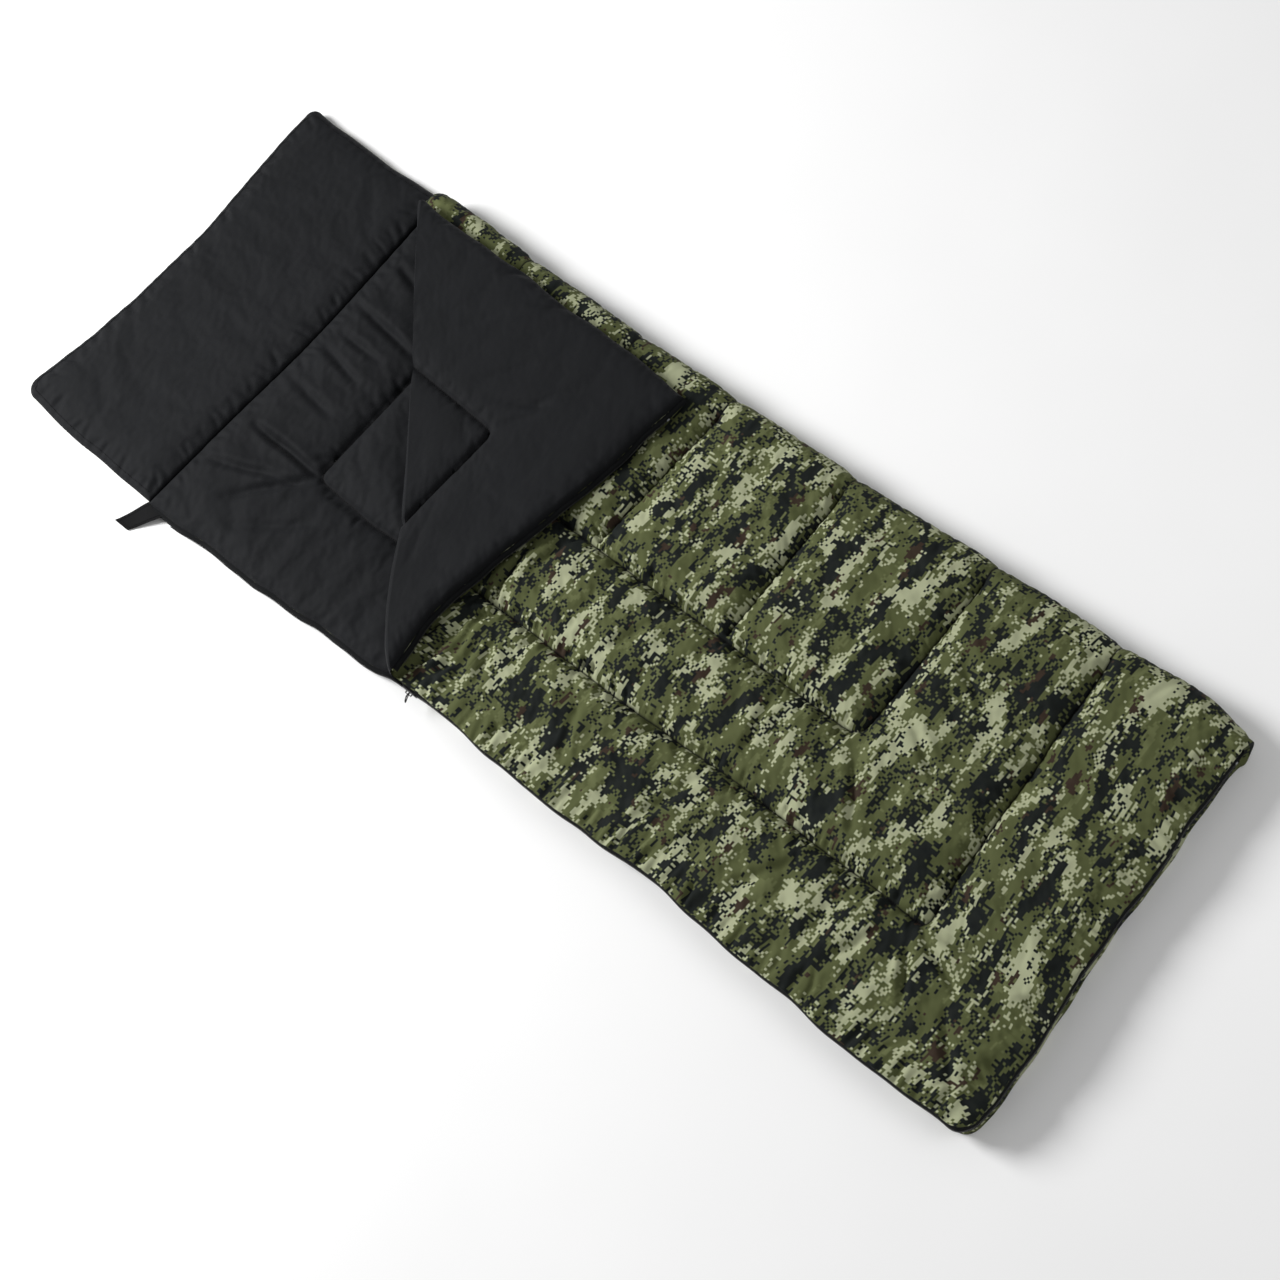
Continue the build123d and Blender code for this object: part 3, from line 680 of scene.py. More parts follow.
def outer_shell_at(w, t):
    """The whole outer shell: w runs from the top's zip edge over the roll to the bottom's."""
    on_top = w <= SHEET_END_U
    u_top = np.minimum(w, SHEET_END_U)
    v_top = FOOT_Y + t * (np.where(w < ROLL_X, fold_y(w), MOUTH_Y) - FOOT_Y)
    u_bottom = np.clip(ROLL_X - (w - SHEET_END_U), ZIP_X, ROLL_X)
    head = MOUTH_Y + (SEAM_Y - MOUTH_Y) * smooth(w - SHEET_END_U, 0, 0.05)
    v_bottom = FOOT_Y + t * (head - FOOT_Y)
    u_top, v_top = onto_lines(u_top, v_top, TOP_LINES)
    top = top_shell_at(u_top, v_top)
    bottom = bottom_shell_at(u_bottom, v_bottom)
    join = smooth(w, SHEET_END_U - 0.02, SHEET_END_U + 0.02)[..., None]
    low = top_shell_at(np.full_like(w, SHEET_END_U), v_bottom)
    slid = low - [1, 0, 0] * np.maximum(w - SHEET_END_U, 0)[..., None]
    points = np.where(on_top[..., None], top, slid * (1 - join) + bottom * join)
    points[..., 2] = np.maximum(points[..., 2], 0)
    flat = np.stack([np.where(on_top, u_top, w), np.where(on_top, v_top, v_bottom)], -1)
    off = np.where(on_top, u_top, u_bottom) - ZIP_X
    turned_u = np.maximum(1 - smooth(off, 0.03, 0.05), on_top * smooth(w, ROLL_X - 0.02, ROLL_X + 0.01))
    turned_v = 1 - smooth(flat[..., 1] - FOOT_Y, 0.03, 0.05)
    return points, print_on(points, flat, turned_u, turned_v), on_top * crease_shade_marks(u_top, v_top, TOP_LINES)


def lining_depth(u, v):
    """Depth of the top quilt's lining below its seams, with the cloth's own shift."""
    du, dv, height = settled_at(top_cloth, FLAP_FOLDS, u, v)
    inward = smooth(np.minimum(off_edges(u, v)[0], MOUTH_Y - v), 0, 0.02)
    return du, dv, np.maximum(limited(height, *TOP_LINING), 0) + SINK * inward + 0.0006


def top_lining_at(w, t):
    """The top quilt's lining and its turn at the closed side, down to the bottom's lining."""
    v = FOOT_Y + t * (np.where(w < ROLL_X, fold_y(w), MOUTH_Y) - FOOT_Y)
    du, dv, depth = lining_depth(np.minimum(w, ROLL_X), v)
    turned = np.clip((w - ROLL_X) / (SEAM_TOP_Z - MID_Z), 0, math.pi * 0.9)
    reach = depth / TOP_LINING[0]
    radius = SEAM_TOP_Z - MID_Z - depth
    x, y = outline(np.minimum(w, ROLL_X) + du, v + dv)
    shift_x, shift_y, _ = flap_shift(x, y)
    close = near_fold(x, y) * (w < ROLL_X)
    out = 0.016 * reach * smooth(w, ROLL_X - 0.05, ROLL_X)
    x = x + out + radius * np.sin(turned) + shift_x * close
    y = y + shift_y * close
    return np.stack([x, y, MID_Z + radius * np.cos(turned)], -1), np.stack([w, v], -1)


LINING_TURN = 0.014  # how far the bottom's lining runs past the roll's start
LINING_REACH = 0.016  # how much further it is drawn out inside the roll, to cover the shell when opened
LINING_RISE = 0.0150  # its least height there


def bottom_lining_at(u, v):
    """The bottom quilt's lining, flat under the top and full where the mouth shows it."""
    du, dv, height = settled_at(bottom_cloth, MOUTH_FOLDS, u, v)
    x, y = outline(np.minimum(u, ROLL_X) + du, v + dv)
    in_roll = smooth(v - FOOT_Y, 0.01, 0.06) * smooth(MOUTH_Y - v, 0.02, 0.09)
    x = x + np.maximum(u - ROLL_X, 0) + LINING_REACH * in_roll * smooth(u, ROLL_X, ROLL_X + LINING_TURN)
    shown = smooth(past_fold(x, y), 0.0, 0.05)
    height = np.maximum(height, 0)
    rise = shown * np.minimum(height, 0.0245) + (1 - shown) * limited(height, 0.0150, 0.010)
    rise = np.maximum(rise, LINING_RISE * in_roll * smooth(u, ROLL_X - 0.02, ROLL_X + 0.01))
    return np.stack([x, y, SEAM_BOTTOM_Z + 0.0006 + rise], -1)


# ---- materials -------------------------------------------------------------------------------
class Nodes:
    """A short way to build a material's node tree."""

    def __init__(self, name):
        self.material = bpy.data.materials.new(name)
        self.material.use_nodes = True
        self.tree = self.material.node_tree
        self.shader = self.tree.nodes["Principled BSDF"]

    def add(self, kind, inputs=None, **settings):
        node = self.tree.nodes.new(kind)
        for key, value in settings.items():
            setattr(node, key, value)
        for key, value in (inputs or {}).items():
            self.put(node.inputs[key], value)
        return node

    def put(self, socket, value):
        if isinstance(value, bpy.types.NodeSocket):
            self.tree.links.new(value, socket)
        else:
            socket.default_value = value

    def math(self, operation, *values):
        node = self.add("ShaderNodeMath", operation=operation)
        for socket, value in zip(node.inputs, values):
            self.put(socket, value)
        return node.outputs[0]

    def vector(self, operation, *values):
        node = self.add("ShaderNodeVectorMath", operation=operation)
        for socket, value in zip(node.inputs, values):
            self.put(socket, value)
        return node.outputs[0]

    def noise(self, place, scale, detail=2.0, roughness=0.5):
        node = self.add("ShaderNodeTexNoise", {"Vector": place, "Scale": scale, "Detail": detail,
                                               "Roughness": roughness})
        return node.outputs["Fac"]

    def mix(self, share, a, b, blend_type="MIX"):
        node = self.add("ShaderNodeMix", data_type="RGBA", blend_type=blend_type)
        self.put(node.inputs["Factor"], share)
        self.put(node.inputs[6], a)
        self.put(node.inputs[7], b)
        return node.outputs[2]

    def flat(self):
        return self.add("ShaderNodeUVMap", uv_map="flat").outputs[0]

    def place(self):
        return self.add("ShaderNodeTexCoord").outputs["Object"]

    def painted_crease_shade(self, colour, depth):
        """Paints shade into a colour along the lines marked as seams: near black on the line, for the shade
        in their tight creases.
        """
        mark = self.add("ShaderNodeAttribute", attribute_name="seam").outputs["Fac"]
        share = self.math("MULTIPLY", self.math("POWER", mark, 1.6), depth)
        return self.mix(share, colour, srgb(4, 4, 5))

    def set(self, **values):
        for key, value in values.items():
            self.shader.inputs[key.replace("_", " ")].default_value = value

    def bump(self, height, strength, distance_m, below=None):
        node = self.add("ShaderNodeBump", {"Height": height, "Strength": strength, "Distance": distance_m})
        if below is not None:
            self.put(node.inputs["Normal"], below)
        return node.outputs[0]


def srgb(red, green, blue):
    """A display colour, 0 to 255, as linear light."""
    values = [c / 255 for c in (red, green, blue)]
    return tuple(c / 12.92 if c <= 0.04045 else ((c + 0.055) / 1.055) ** 2.4 for c in values) + (1.0,)


def woven(nodes, place, pitch):
    """A plain weave: threads over and under at the given pitch."""
    split = nodes.add("ShaderNodeSeparateXYZ", {"Vector": place})
    rate = 2 * math.pi / pitch
    warp = nodes.math("SINE", nodes.math("MULTIPLY", split.outputs[0], rate))
    weft = nodes.math("SINE", nodes.math("MULTIPLY", split.outputs[1], rate))
    return nodes.math("MULTIPLY", warp, weft)


def camouflage():
    """A printed shell cloth: squares in four colours, in patches that run across the bag."""
    n = Nodes("camouflage_shell")
    flat = n.flat()
    square = n.vector("SNAP", flat, (PIXEL, PIXEL, PIXEL))
    speck = n.add("ShaderNodeTexWhiteNoise", {"Vector": square}, noise_dimensions="3D").outputs["Value"]
    speck = n.math("SUBTRACT", speck, 0.5)

    def patches(offset, scale, edge, raggedness, detail):
        moved = n.vector("ADD", square, offset)
        long = n.vector("MULTIPLY", moved, scale)
        field = n.noise(long, 1.0, detail, 0.64)
        ragged = n.math("ADD", field, n.math("MULTIPLY", speck, raggedness))
        return n.math("GREATER_THAN", ragged, edge)

    colour = srgb(77, 82, 51)
    colour = n.mix(patches((4.4, 6.3, 9.0), (14, 30, 1), 0.560, 0.08, 3.0), colour, srgb(90, 95, 62))
    colour = n.mix(patches((1.3, 4.1, 0.0), (10, 23, 1), 0.527, 0.12, 5.0), colour, srgb(156, 160, 130))
    colour = n.mix(patches((7.9, 2.6, 3.0), (12, 27, 1), 0.534, 0.12, 5.0), colour, srgb(17, 21, 24))
    colour = n.mix(patches((5.2, 9.4, 6.0), (13, 26, 1), 0.650, 0.07, 2.0), colour, srgb(50, 38, 32))
    worn = n.noise(flat, 60.0, 3.0, 0.6)
    colour = n.mix(n.math("MULTIPLY", worn, 0.08), colour, srgb(100, 104, 76))
    # painted shade: the print darkens to near black along the quilting lines, for the shade in their creases
    n.put(n.shader.inputs["Base Color"], n.painted_crease_shade(colour, 0.9))
    n.set(Roughness=0.72, Sheen_Weight=0.01, Sheen_Roughness=0.5, Specular_IOR_Level=0.05)
    crumple = n.bump(n.noise(flat, 90.0, 3.0, 0.6), 0.35, 0.0012)
    n.put(n.shader.inputs["Normal"], n.bump(woven(n, flat, 0.0011), 0.25, 0.0002, crumple))
    return n.material


def dark_cloth(name, colour, roughness, sheen, pitch, crumple_size):
    """A plain dark woven cloth with slight wear and a fine crumple."""
    n = Nodes(name)
    place = n.place()
    tone = n.noise(place, 7.0, 4.0, 0.6)
    fleck = n.noise(place, 900.0, 2.0, 0.5)
    light = tuple(min(1.0, c * 1.5) for c in colour[:3]) + (1.0,)
    dark = tuple(c * 0.72 for c in colour[:3]) + (1.0,)
    base = n.mix(tone, dark, light)
    base = n.mix(n.math("MULTIPLY", fleck, 0.35), base, light)
    # painted shade: the cloth darkens to near black along its lines of stitches, for the shade in their
    # creases
    n.put(n.shader.inputs["Base Color"], n.painted_crease_shade(base, 0.95))
    n.set(Roughness=roughness, Sheen_Weight=sheen, Sheen_Roughness=0.45, Specular_IOR_Level=0.10)
    crumple = n.bump(n.noise(place, crumple_size, 3.0, 0.6), 0.3, 0.0012)
    n.put(n.shader.inputs["Normal"], n.bump(woven(n, place, pitch), 0.3, 0.0002, crumple))
    return n.material


def metal():
    """Nickel-plated zip metal with fine scratches."""
    n = Nodes("nickel")
    place = n.place()
    scratch = n.noise(n.vector("MULTIPLY", place, (900.0, 120.0, 900.0)), 1.0, 3.0, 0.7)
    n.put(n.shader.inputs["Base Color"], n.mix(scratch, srgb(108, 110, 113), srgb(158, 160, 163)))
    n.put(n.shader.inputs["Roughness"], n.math("ADD", n.math("MULTIPLY", scratch, 0.2), 0.22))
    n.set(Metallic=1.0)
    return n.material


def enamel(name, colour, roughness):
    """Dark moulded or painted zip parts."""
    n = Nodes(name)
    grain = n.noise(n.place(), 1500.0, 2.0, 0.5)
    n.put(n.shader.inputs["Base Color"], n.mix(grain, colour, tuple(c * 1.6 for c in colour[:3]) + (1.0,)))
    n.set(Roughness=roughness, Specular_IOR_Level=0.5)
    n.put(n.shader.inputs["Normal"], n.bump(grain, 0.2, 0.0001))
    return n.material


CAMO = camouflage()
LINING = dark_cloth("black_lining", srgb(17, 18, 20), 0.72, 0.02, 0.0009, 110.0)
TAPE = dark_cloth("zip_tape", srgb(13, 14, 15), 0.85, 0.02, 0.0012, 260.0)
WEBBING = dark_cloth("webbing", srgb(11, 11, 12), 0.8, 0.02, 0.0022, 320.0)
THREAD = dark_cloth("thread", srgb(13, 13, 15), 0.6, 0.02, 0.0006, 700.0)
COIL = enamel("zip_coil", srgb(14, 14, 15), 0.4)
BLACK_METAL = enamel("black_metal", srgb(20, 20, 22), 0.32)
NICKEL = metal()


# ---- dressing a piece: its material, and hiding the frame's parts that it stands for ---------
def dress(piece, material, replaced=()):
    piece.data.materials.clear()
    piece.data.materials.append(material)
    if replaced:
        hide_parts(*replaced)
    return piece


def edge_stations(low, high, step):
    """Even stations with a few close ones at both ends, where cloth turns over its edge."""
    inner = stations(low, high, step)
    near = np.array([0.25, 0.5, 1.5]) * (inner[1] - inner[0])
    return np.unique(np.concatenate([inner, low + near, high - near]))


# ---- the outer shell -------------------------------------------------------------------------
def make_outer_shell():
    top_w = edge_stations(ZIP_X, SHEET_END_U, GRID)
    bottom_w = SHEET_END_U + edge_stations(0, ROLL_X - ZIP_X, 0.014)[1:]
    t = edge_stations(0, 1, GRID / (MOUTH_Y - FOOT_Y))
    w, t = np.meshgrid(np.concatenate([top_w, bottom_w]), t)
    points, flat, marks = outer_shell_at(w, t)
    shell = grid_object("outer_shell", points, flat, marks=marks)
    dress(shell, CAMO, (
        "bottom_outer_shell", "bottom_insulation", "side_fold_shell_lower", "side_fold_insulation_lower",
        "top_outer_shell", "top_insulation", "side_fold_shell_upper", "side_fold_insulation_upper"))
    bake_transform(shell)


def make_linings():
    w = edge_stations(ZIP_X, ROLL_X, 0.008)
    turn = ROLL_X + np.linspace(0, math.pi * 0.9 * (SEAM_TOP_Z - MID_Z), 12)[1:]
    t = edge_stations(0, 1, 0.008 / (MOUTH_Y - FOOT_Y))
    points, flat = top_lining_at(*np.meshgrid(np.concatenate([w, turn]), t))
    lining = dress(grid_object("top_lining_cloth", points, flat), LINING,
                   ("top_lining", "side_fold_lining_upper", "side_fold_lining_lower"))
    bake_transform(lining)

    u, v = np.meshgrid(edge_stations(ZIP_X, ROLL_X + LINING_TURN, GRID), edge_stations(FOOT_Y, SEAM_Y, GRID))
    u, v = onto_lines(u, v, BOTTOM_LINES)
    marks = crease_shade_marks(u, v, BOTTOM_LINES + [HOOD_SEAM])
    lining = grid_object("bottom_lining_cloth", bottom_lining_at(u, v), np.stack([u, v], -1), marks=marks)
    dress(lining, LINING, ("bottom_lining",))
    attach(lining, "bottom")


def flap_columns():
    """Stations across the flap: flat u, and t from the fold line to the mouth edge."""
    u = edge_stations(ZIP_X, ROLL_X - 0.004, GRID)
    t = edge_stations(0, 1, GRID / (MOUTH_Y - float(fold_y(ZIP_X))))
    u, t = np.meshgrid(u, t)
    v = fold_y(u) + t * (MOUTH_Y - fold_y(u))
    on_u, on_v = onto_lines(u, v, TOP_LINES)
    on_u[[0, -1]], on_v[[0, -1]] = u[[0, -1]], v[[0, -1]]
    return on_u, on_v


def flap_place(u, v, height):
    """Puts a flat point of the flap at its folded-back place, at a height above the floor."""
    x, y = outline_flap(u, v)
    x, y = folded(x, y)
    shift_x, shift_y, lift = flap_shift(x, y)
    return np.stack([x + shift_x, y + shift_y, height + lift], -1)


def outline_flap(u, v):
    """The flap's own outline before folding: only the slight unevenness of its edges."""
    zip_part = smooth(ZIP_X + 0.12 - u, 0, 0.12)
    head_part = smooth(v - MOUTH_Y + 0.12, 0, 0.12)
    return u + zip_part * ripple(v + 7) * 0.7, v + head_part * ripple(u + 9)


CREASE_FULL = [(-0.375, 0.36), (-0.20, 0.42), (-0.05, 0.22), (0.07, 0.06), (0.22, 0.10), (0.341, 0.12)]


def crease_full(u):
    """How far the crease bulges, as a share of a half circle."""
    return through(CREASE_FULL, u)


def make_flap():
    u, v = flap_columns()
    du, dv, depth = lining_depth(u, v)
    upper = flap_place(u + du, v + dv, FLAP_SEAM_Z + depth)
    angles = np.linspace(0, math.pi, 15)[1:-1]
    fold_u, fold_v = u[0], v[0]
    _, _, fold_depth = lining_depth(fold_u, fold_v)
    radius = FOLD_Z - SEAM_TOP_Z + fold_depth
    x, y = outline_flap(fold_u, fold_v)
    shift_x, shift_y, lift = flap_shift(x, y)
    turn = []
    for angle in angles:
        out = radius * math.sin(angle) * crease_full(fold_u)
        share = (1 - math.cos(angle)) / 2
        turn.append(np.stack([
            x + out * FOLD_NORMAL[0] + shift_x, y + out * FOLD_NORMAL[1] + shift_y,
            FOLD_Z - radius * math.cos(angle) + lift * share], -1))
    under = []
    for back in (0.045, 0.03, 0.015, 0.0):
        point_x, point_y = x, y - back
        _, _, under_depth = lining_depth(fold_u, fold_v - back)
        shift = flap_shift(point_x, point_y)
        near = near_fold(point_x, point_y)
        under.append(np.stack([point_x + shift[0] * near, point_y + shift[1] * near,
                               SEAM_TOP_Z - under_depth - 0.0004], -1))
    points = np.concatenate([np.array(under), np.array(turn), upper])
    rows_before = len(under) + len(turn)
    flat = np.stack([u, v], -1)
    lead = np.stack([flat[0] - [0, GRID * (rows_before - row)] for row in range(rows_before)])
    marks = np.pad(crease_shade_marks(u, v, TOP_LINES), ((rows_before, 0), (0, 0)))
    lining = grid_object("flap_lining_cloth", points, np.concatenate([lead, flat]), marks=marks)
    dress(lining, LINING, ("flap_lining",))
    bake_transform(lining)

    du, dv, height = settled_at(top_cloth, [], u, v)
    below = limited(height, FLAP_SEAM_Z - FOLD_Z - 0.0012, 0.006)
    zip_off = u - ZIP_X
    bulge = 0.016 * np.sin(np.pi * np.clip(zip_off / 0.035, 0, 1))
    shell = flap_place(u + du - bulge, v + dv, FLAP_SEAM_Z - below)
    shell = dress(grid_object("flap_outer_shell_cloth", shell, flat), CAMO,
                  ("flap_outer_shell", "flap_insulation"))
    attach(shell, "flap")


# ---- the hood --------------------------------------------------------------------------------
HOOD_EDGE_Z = 0.0145


def hood_seam_level(v):
    return HOOD_EDGE_Z + (SEAM_BOTTOM_Z - HOOD_EDGE_Z) * smooth(SEAM_Y + 0.1 - v, 0, 0.1)


def hood_at(u, v, side):
    """The hood's lining (side 1) or its shell (side -1)."""
    du, dv, height = hood_cloth.at(u, v)
    height = np.maximum(height + soft_folds(HOOD_FOLDS, u, v) * smooth(height, 0, 0.012), 0)
    x, y = hood_outline(u + du, v + dv)
    if side > 0:
        rise = np.minimum(height, 0.0255) + 0.0006
    else:
        rise = -limited(height, HOOD_EDGE_Z, 0.003)
    return np.stack([x, y, np.maximum(hood_seam_level(v) + rise, 0)], -1)


def make_hood():
    u, v = np.meshgrid(edge_stations(ZIP_X, CLOSED_X, GRID), edge_stations(SEAM_Y, HOOD_END_Y, GRID))
    flat = np.stack([u, v + 0.4], -1)
    lining = grid_object("hood_lining_cloth", hood_at(u, v, 1), flat, marks=crease_shade_marks(u, v, [HOOD_SEAM]))
    dress(lining, LINING, ("hood_lining", "hood_insulation"))
    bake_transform(lining)
    shell = dress(grid_object("hood_outer_shell_cloth", hood_at(u, v, -1), flat), CAMO,
                  ("hood_outer_shell",))
    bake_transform(shell)


# ---- the zip ---------------------------------------------------------------------------------
TOP_TAPE = ((-0.002, SEAM_TOP_Z), (0.0025, 0.0455), (0.0055, 0.0405), (0.0068, 0.0352))
BOTTOM_TAPE = ((-0.002, SEAM_BOTTOM_Z), (0.0040, 0.0200), (0.0062, 0.0262), (0.0068, 0.0318))
LOOSE_TAPE = ((-0.002, SEAM_BOTTOM_Z), (0.0035, 0.0160), (0.0060, 0.0120), (0.0075, 0.0080))
FLAP_TAPE = ((-0.002, FLAP_SEAM_Z), (0.0030, 0.0880), (0.0062, 0.0860), (0.0080, 0.0825))
FOOT_PULL = 0.55  # how much closer the tapes lie to the quilts along the foot
ZIP_CLOSED_Y = SLIDER_HIGH[1] - 0.008
COIL_PITCH = 0.0023
TOOTH = [(x * 0.0008, y * 0.0013, z * 0.0010) for y in (-1, 1) for x, z in
         ((1, 0), (0.5, 1), (-0.5, 1), (-1, 0), (-0.5, -1), (0.5, -1))]
TOOTH_FACES = [[i, (i + 1) % 6, 6 + (i + 1) % 6, 6 + i] for i in range(6)] + [
    [5, 4, 3, 2, 1, 0], [6, 7, 8, 9, 10, 11]]


def zip_edge(head_y, upper):
    """The quilt's edge from a place on the zip side round the foot: points and outward directions."""
    side = [(ZIP_X, v) for v in stations(FOOT_Y, head_y, 0.005)[::-1]]
    foot = [(u, FOOT_Y) for u in stations(ZIP_X, ZIP_END_X, 0.005)[1:]]
    u, v = np.array(side + foot).T
    x, y = outline(u, v)
    if upper:
        shift_x, shift_y, _ = flap_shift(x, y)
        close = near_fold(x, y)
        x, y = x + shift_x * close, y + shift_y * close
    run = np.gradient(np.stack([x, y]), axis=1)
    run = np.stack([np.convolve(np.pad(r, 3, "edge"), np.ones(7) / 7, "valid") for r in run])
    run /= np.linalg.norm(run, axis=0)
    return np.stack([x, y], -1), np.stack([run[1], -run[0]], -1), v


def tape_points(edge, outward, profile, wave):
    """A tape beside an edge; profile gives its (out, height) from the quilt to the coil."""
    rows = []
    reach = 1 - FOOT_PULL * smooth(-outward[:, 1:], 0.2, 0.9)
    for number, (out, height) in enumerate(profile):
        share = number / (len(profile) - 1)
        rows.append(np.concatenate([edge + outward * out * reach, (height + wave * share)[:, None]], 1))
    return np.array(rows)


def coil(name, line, node, body):
    """Coil teeth along the tape's free edge."""
    points, directions = along(line, COIL_PITCH)
    places = [frame_at(p, d, (0, 0, 1)) for p, d in zip(points, directions)]
    piece = dress(many(name, TOOTH, TOOTH_FACES, places), COIL, (node,))
    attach(piece, body)


def tape(name, rows, node, body):
    """A tape's mesh, dressed and attached to its body."""
    piece = dress(grid_object(name, rows, None), TAPE, (node,))
    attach(piece, body)


def make_zip():
    edge, outward, v = zip_edge(MOUTH_Y, upper=False)
    wave = 0.0008 * np.sin(v * 60) + 0.0006 * np.sin(v * 97 + 1)
    closed = tape_points(edge, outward, BOTTOM_TAPE, wave)
    loose = tape_points(edge, outward, LOOSE_TAPE, wave * 3)
    share = smooth(v, ZIP_CLOSED_Y, ZIP_CLOSED_Y + 0.12)[None, :, None]
    rows = closed * (1 - share) + loose * share
    tape("zip_tape_lower", rows, "zip_tape_bottom", "bottom")
    chain = rows[-1][v <= STOP_SPAN[0][1]]
    coil("zip_coil_lower", chain, "zip_coil_bottom", "bottom")
    stop(chain[0], chain[1] - chain[0], "lower_top_stop", "zip_top_stop_bottom", "bottom")
    end = chain[-1] + [0.002, 0, 0.0017]
    stop(end, (1, 0, 0), "foot_end_stop", "zip_end_stop", "bottom", 1.7)

    edge, outward, v = zip_edge(float(fold_y(ZIP_X)) - 0.002, upper=True)
    rows = tape_points(edge, outward, TOP_TAPE, 0.0008 * np.sin(v * 60) + 0.0006 * np.sin(v * 97 + 1))
    tape("zip_tape_upper", rows, "zip_tape_top", "top")
    coil("zip_coil_upper", rows[-1], "zip_coil_top", "top")

    v = stations(float(fold_y(ZIP_X)) + 0.004, MOUTH_Y, 0.005)
    rows = np.array([flap_place(np.full_like(v, ZIP_X - out), v, height + 0.0008 * np.sin(v * 80))
                     for out, height in FLAP_TAPE])
    tape("zip_tape_free", rows, "zip_tape_flap", "flap")
    chain = rows[-1][v <= STOP_SPAN[0][1]]
    coil("zip_coil_free", chain[4:], "zip_coil_flap", "flap")
    stop(chain[-1], chain[-1] - chain[-2], "free_top_stop", "zip_top_stop_flap", "flap")


def stop(point, direction, name, node, body, height=1.0):
    """A small crimped metal stop at the end of a coil."""
    shape = [(x * 0.0028, y * 0.0019, z * 0.0014 * height) for x in (-1, 1) for y, z in
             ((1, 0.3), (0.6, 1), (-0.6, 1), (-1, 0.3), (-1, -0.3), (-0.6, -1), (0.6, -1), (1, -0.3))]
    faces = [[i, (i + 1) % 8, 8 + (i + 1) % 8, 8 + i] for i in range(8)]
    faces += [list(range(7, -1, -1)), list(range(8, 16))]
    piece = many(name, shape, faces, [frame_at(point, direction, (0, 0, 1))])
    bevelled(piece, 0.0004)
    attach(dress(piece, NICKEL, (node,)), body)


def bevelled(piece, width):
    """Rounds a small hard piece's edges, for good."""
    for kind, settings in (("WELD", {"merge_threshold": 1e-5}),
                           ("BEVEL", {"width": width, "segments": 2, "limit_method": "ANGLE"})):
        modifier = piece.modifiers.new(kind.lower(), kind)
        for key, value in settings.items():
            setattr(modifier, key, value)
    bpy.context.view_layer.update()
    evaluated = piece.evaluated_get(bpy.context.evaluated_depsgraph_get())
    mesh = bpy.data.meshes.new_from_object(evaluated)
    piece.modifiers.clear()
    piece.data = mesh


def make_slider():
    for name, node in (("slider_shell", "slider_body"), ("slider_bridge", "slider_bail")):
        piece = bpy.data.objects.new(name, NODES[node].data.copy())
        bpy.context.scene.collection.objects.link(piece)
        bevelled(piece, 0.0004)
        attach(dress(piece, BLACK_METAL, (node,)), "slider")


PULL_OUT = 0.0165  # the wire loop's length
PULL_SIDE = 0.0034  # half its width
PULL_CURL = 0.006  # how far its end bends towards the foot
PULL_WIRE = 0.0011  # the wire's radius


def make_pull():
    """A wire loop in the slider's bridge, its far end curled towards the foot."""
    turn = np.linspace(0, 2 * math.pi, 48, endpoint=False)
    out = PULL_OUT * (1 - np.cos(turn)) / 2
    side = PULL_SIDE * np.sin(turn) * (0.55 + 0.45 * out / PULL_OUT)
    pivot = JOINTS["pull_swing"]["pos_m"]
    curl = -PULL_CURL * (out / PULL_OUT) ** 2
    path = np.stack([pivot[0] + PULL_WIRE - out, pivot[1] + curl, pivot[2] + side], -1)
    ahead = np.roll(path, -1, 0) - np.roll(path, 1, 0)
    around = np.linspace(0, 2 * math.pi, 12, endpoint=False)
    rings = []
    for point, direction in zip(path, ahead):
        place = frame_at(point, direction, (0.05, 1, 0.02))
        ring = np.outer(np.cos(around), place[:3, 1]) + np.outer(np.sin(around), place[:3, 2])
        rings.append(point + PULL_WIRE * ring)
    rings = np.array(rings)
    piece = grid_object("pull_wire", np.concatenate([rings, rings[:1]]), None, close=True)
    bevelled(piece, 0.0)
    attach(dress(piece, BLACK_METAL, ("zip_pull",)), "pull")


# ---- the webbing tab -------------------------------------------------------------------------
TAB_BASE = ((-0.394, 0.720), (-0.396, 0.772))
TAB_TIP = ((-0.4630, 0.7750), (-0.4630, 0.8090))
TAB_THICK = 0.0019


def tab_at(a, b):
    """The tab's middle surface: a from its sewn base to its tip, b across it."""
    base = np.array(TAB_BASE[0]) * (1 - b[..., None]) + np.array(TAB_BASE[1]) * b[..., None]
    tip = np.array(TAB_TIP[0]) * (1 - b[..., None]) + np.array(TAB_TIP[1]) * b[..., None]
    place = base * (1 - a[..., None]) + tip * a[..., None]
    height = 0.0120 - 0.0085 * smooth(a, 0.05, 1.0) + 0.0012 * np.sin(a * 5 + b * 2)
    return np.concatenate([place, height[..., None]], -1)


def make_tab():
    b, a = np.meshgrid(np.linspace(0, 1, 33), np.linspace(-0.12, 1, 60))
    middle = tab_at(a, b)
    rib = 0.00022 * np.cos(b * 2 * math.pi * 11)
    edge = np.minimum(1, 6 * np.minimum(b, 1 - b)) ** 0.5
    half = (TAB_THICK / 2 * (0.35 + 0.65 * edge) + rib)[..., None] * np.array([0, 0, 1])
    ring = np.concatenate([middle + half, (middle - half)[:, ::-1]], 1)
    piece = grid_object("tab_strap", ring, None, close=True)
    cap_ends(piece, *ring.shape[:2])
    dress(piece, WEBBING, ("webbing_tab", "tab_sewn_end"))
    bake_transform(piece)

    box = [(0.12, 0.14), (0.92, 0.14), (0.92, 0.86), (0.12, 0.86), (0.12, 0.14)]
    path = tab_at(*np.concatenate([np.linspace(p, q, 30) for p, q in zip(box, box[1:])]).T)
    path = path + [0, 0, TAB_THICK / 2 + 0.0001]
    seam = stitches("tab_stitches", path)
    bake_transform(dress(seam, THREAD))


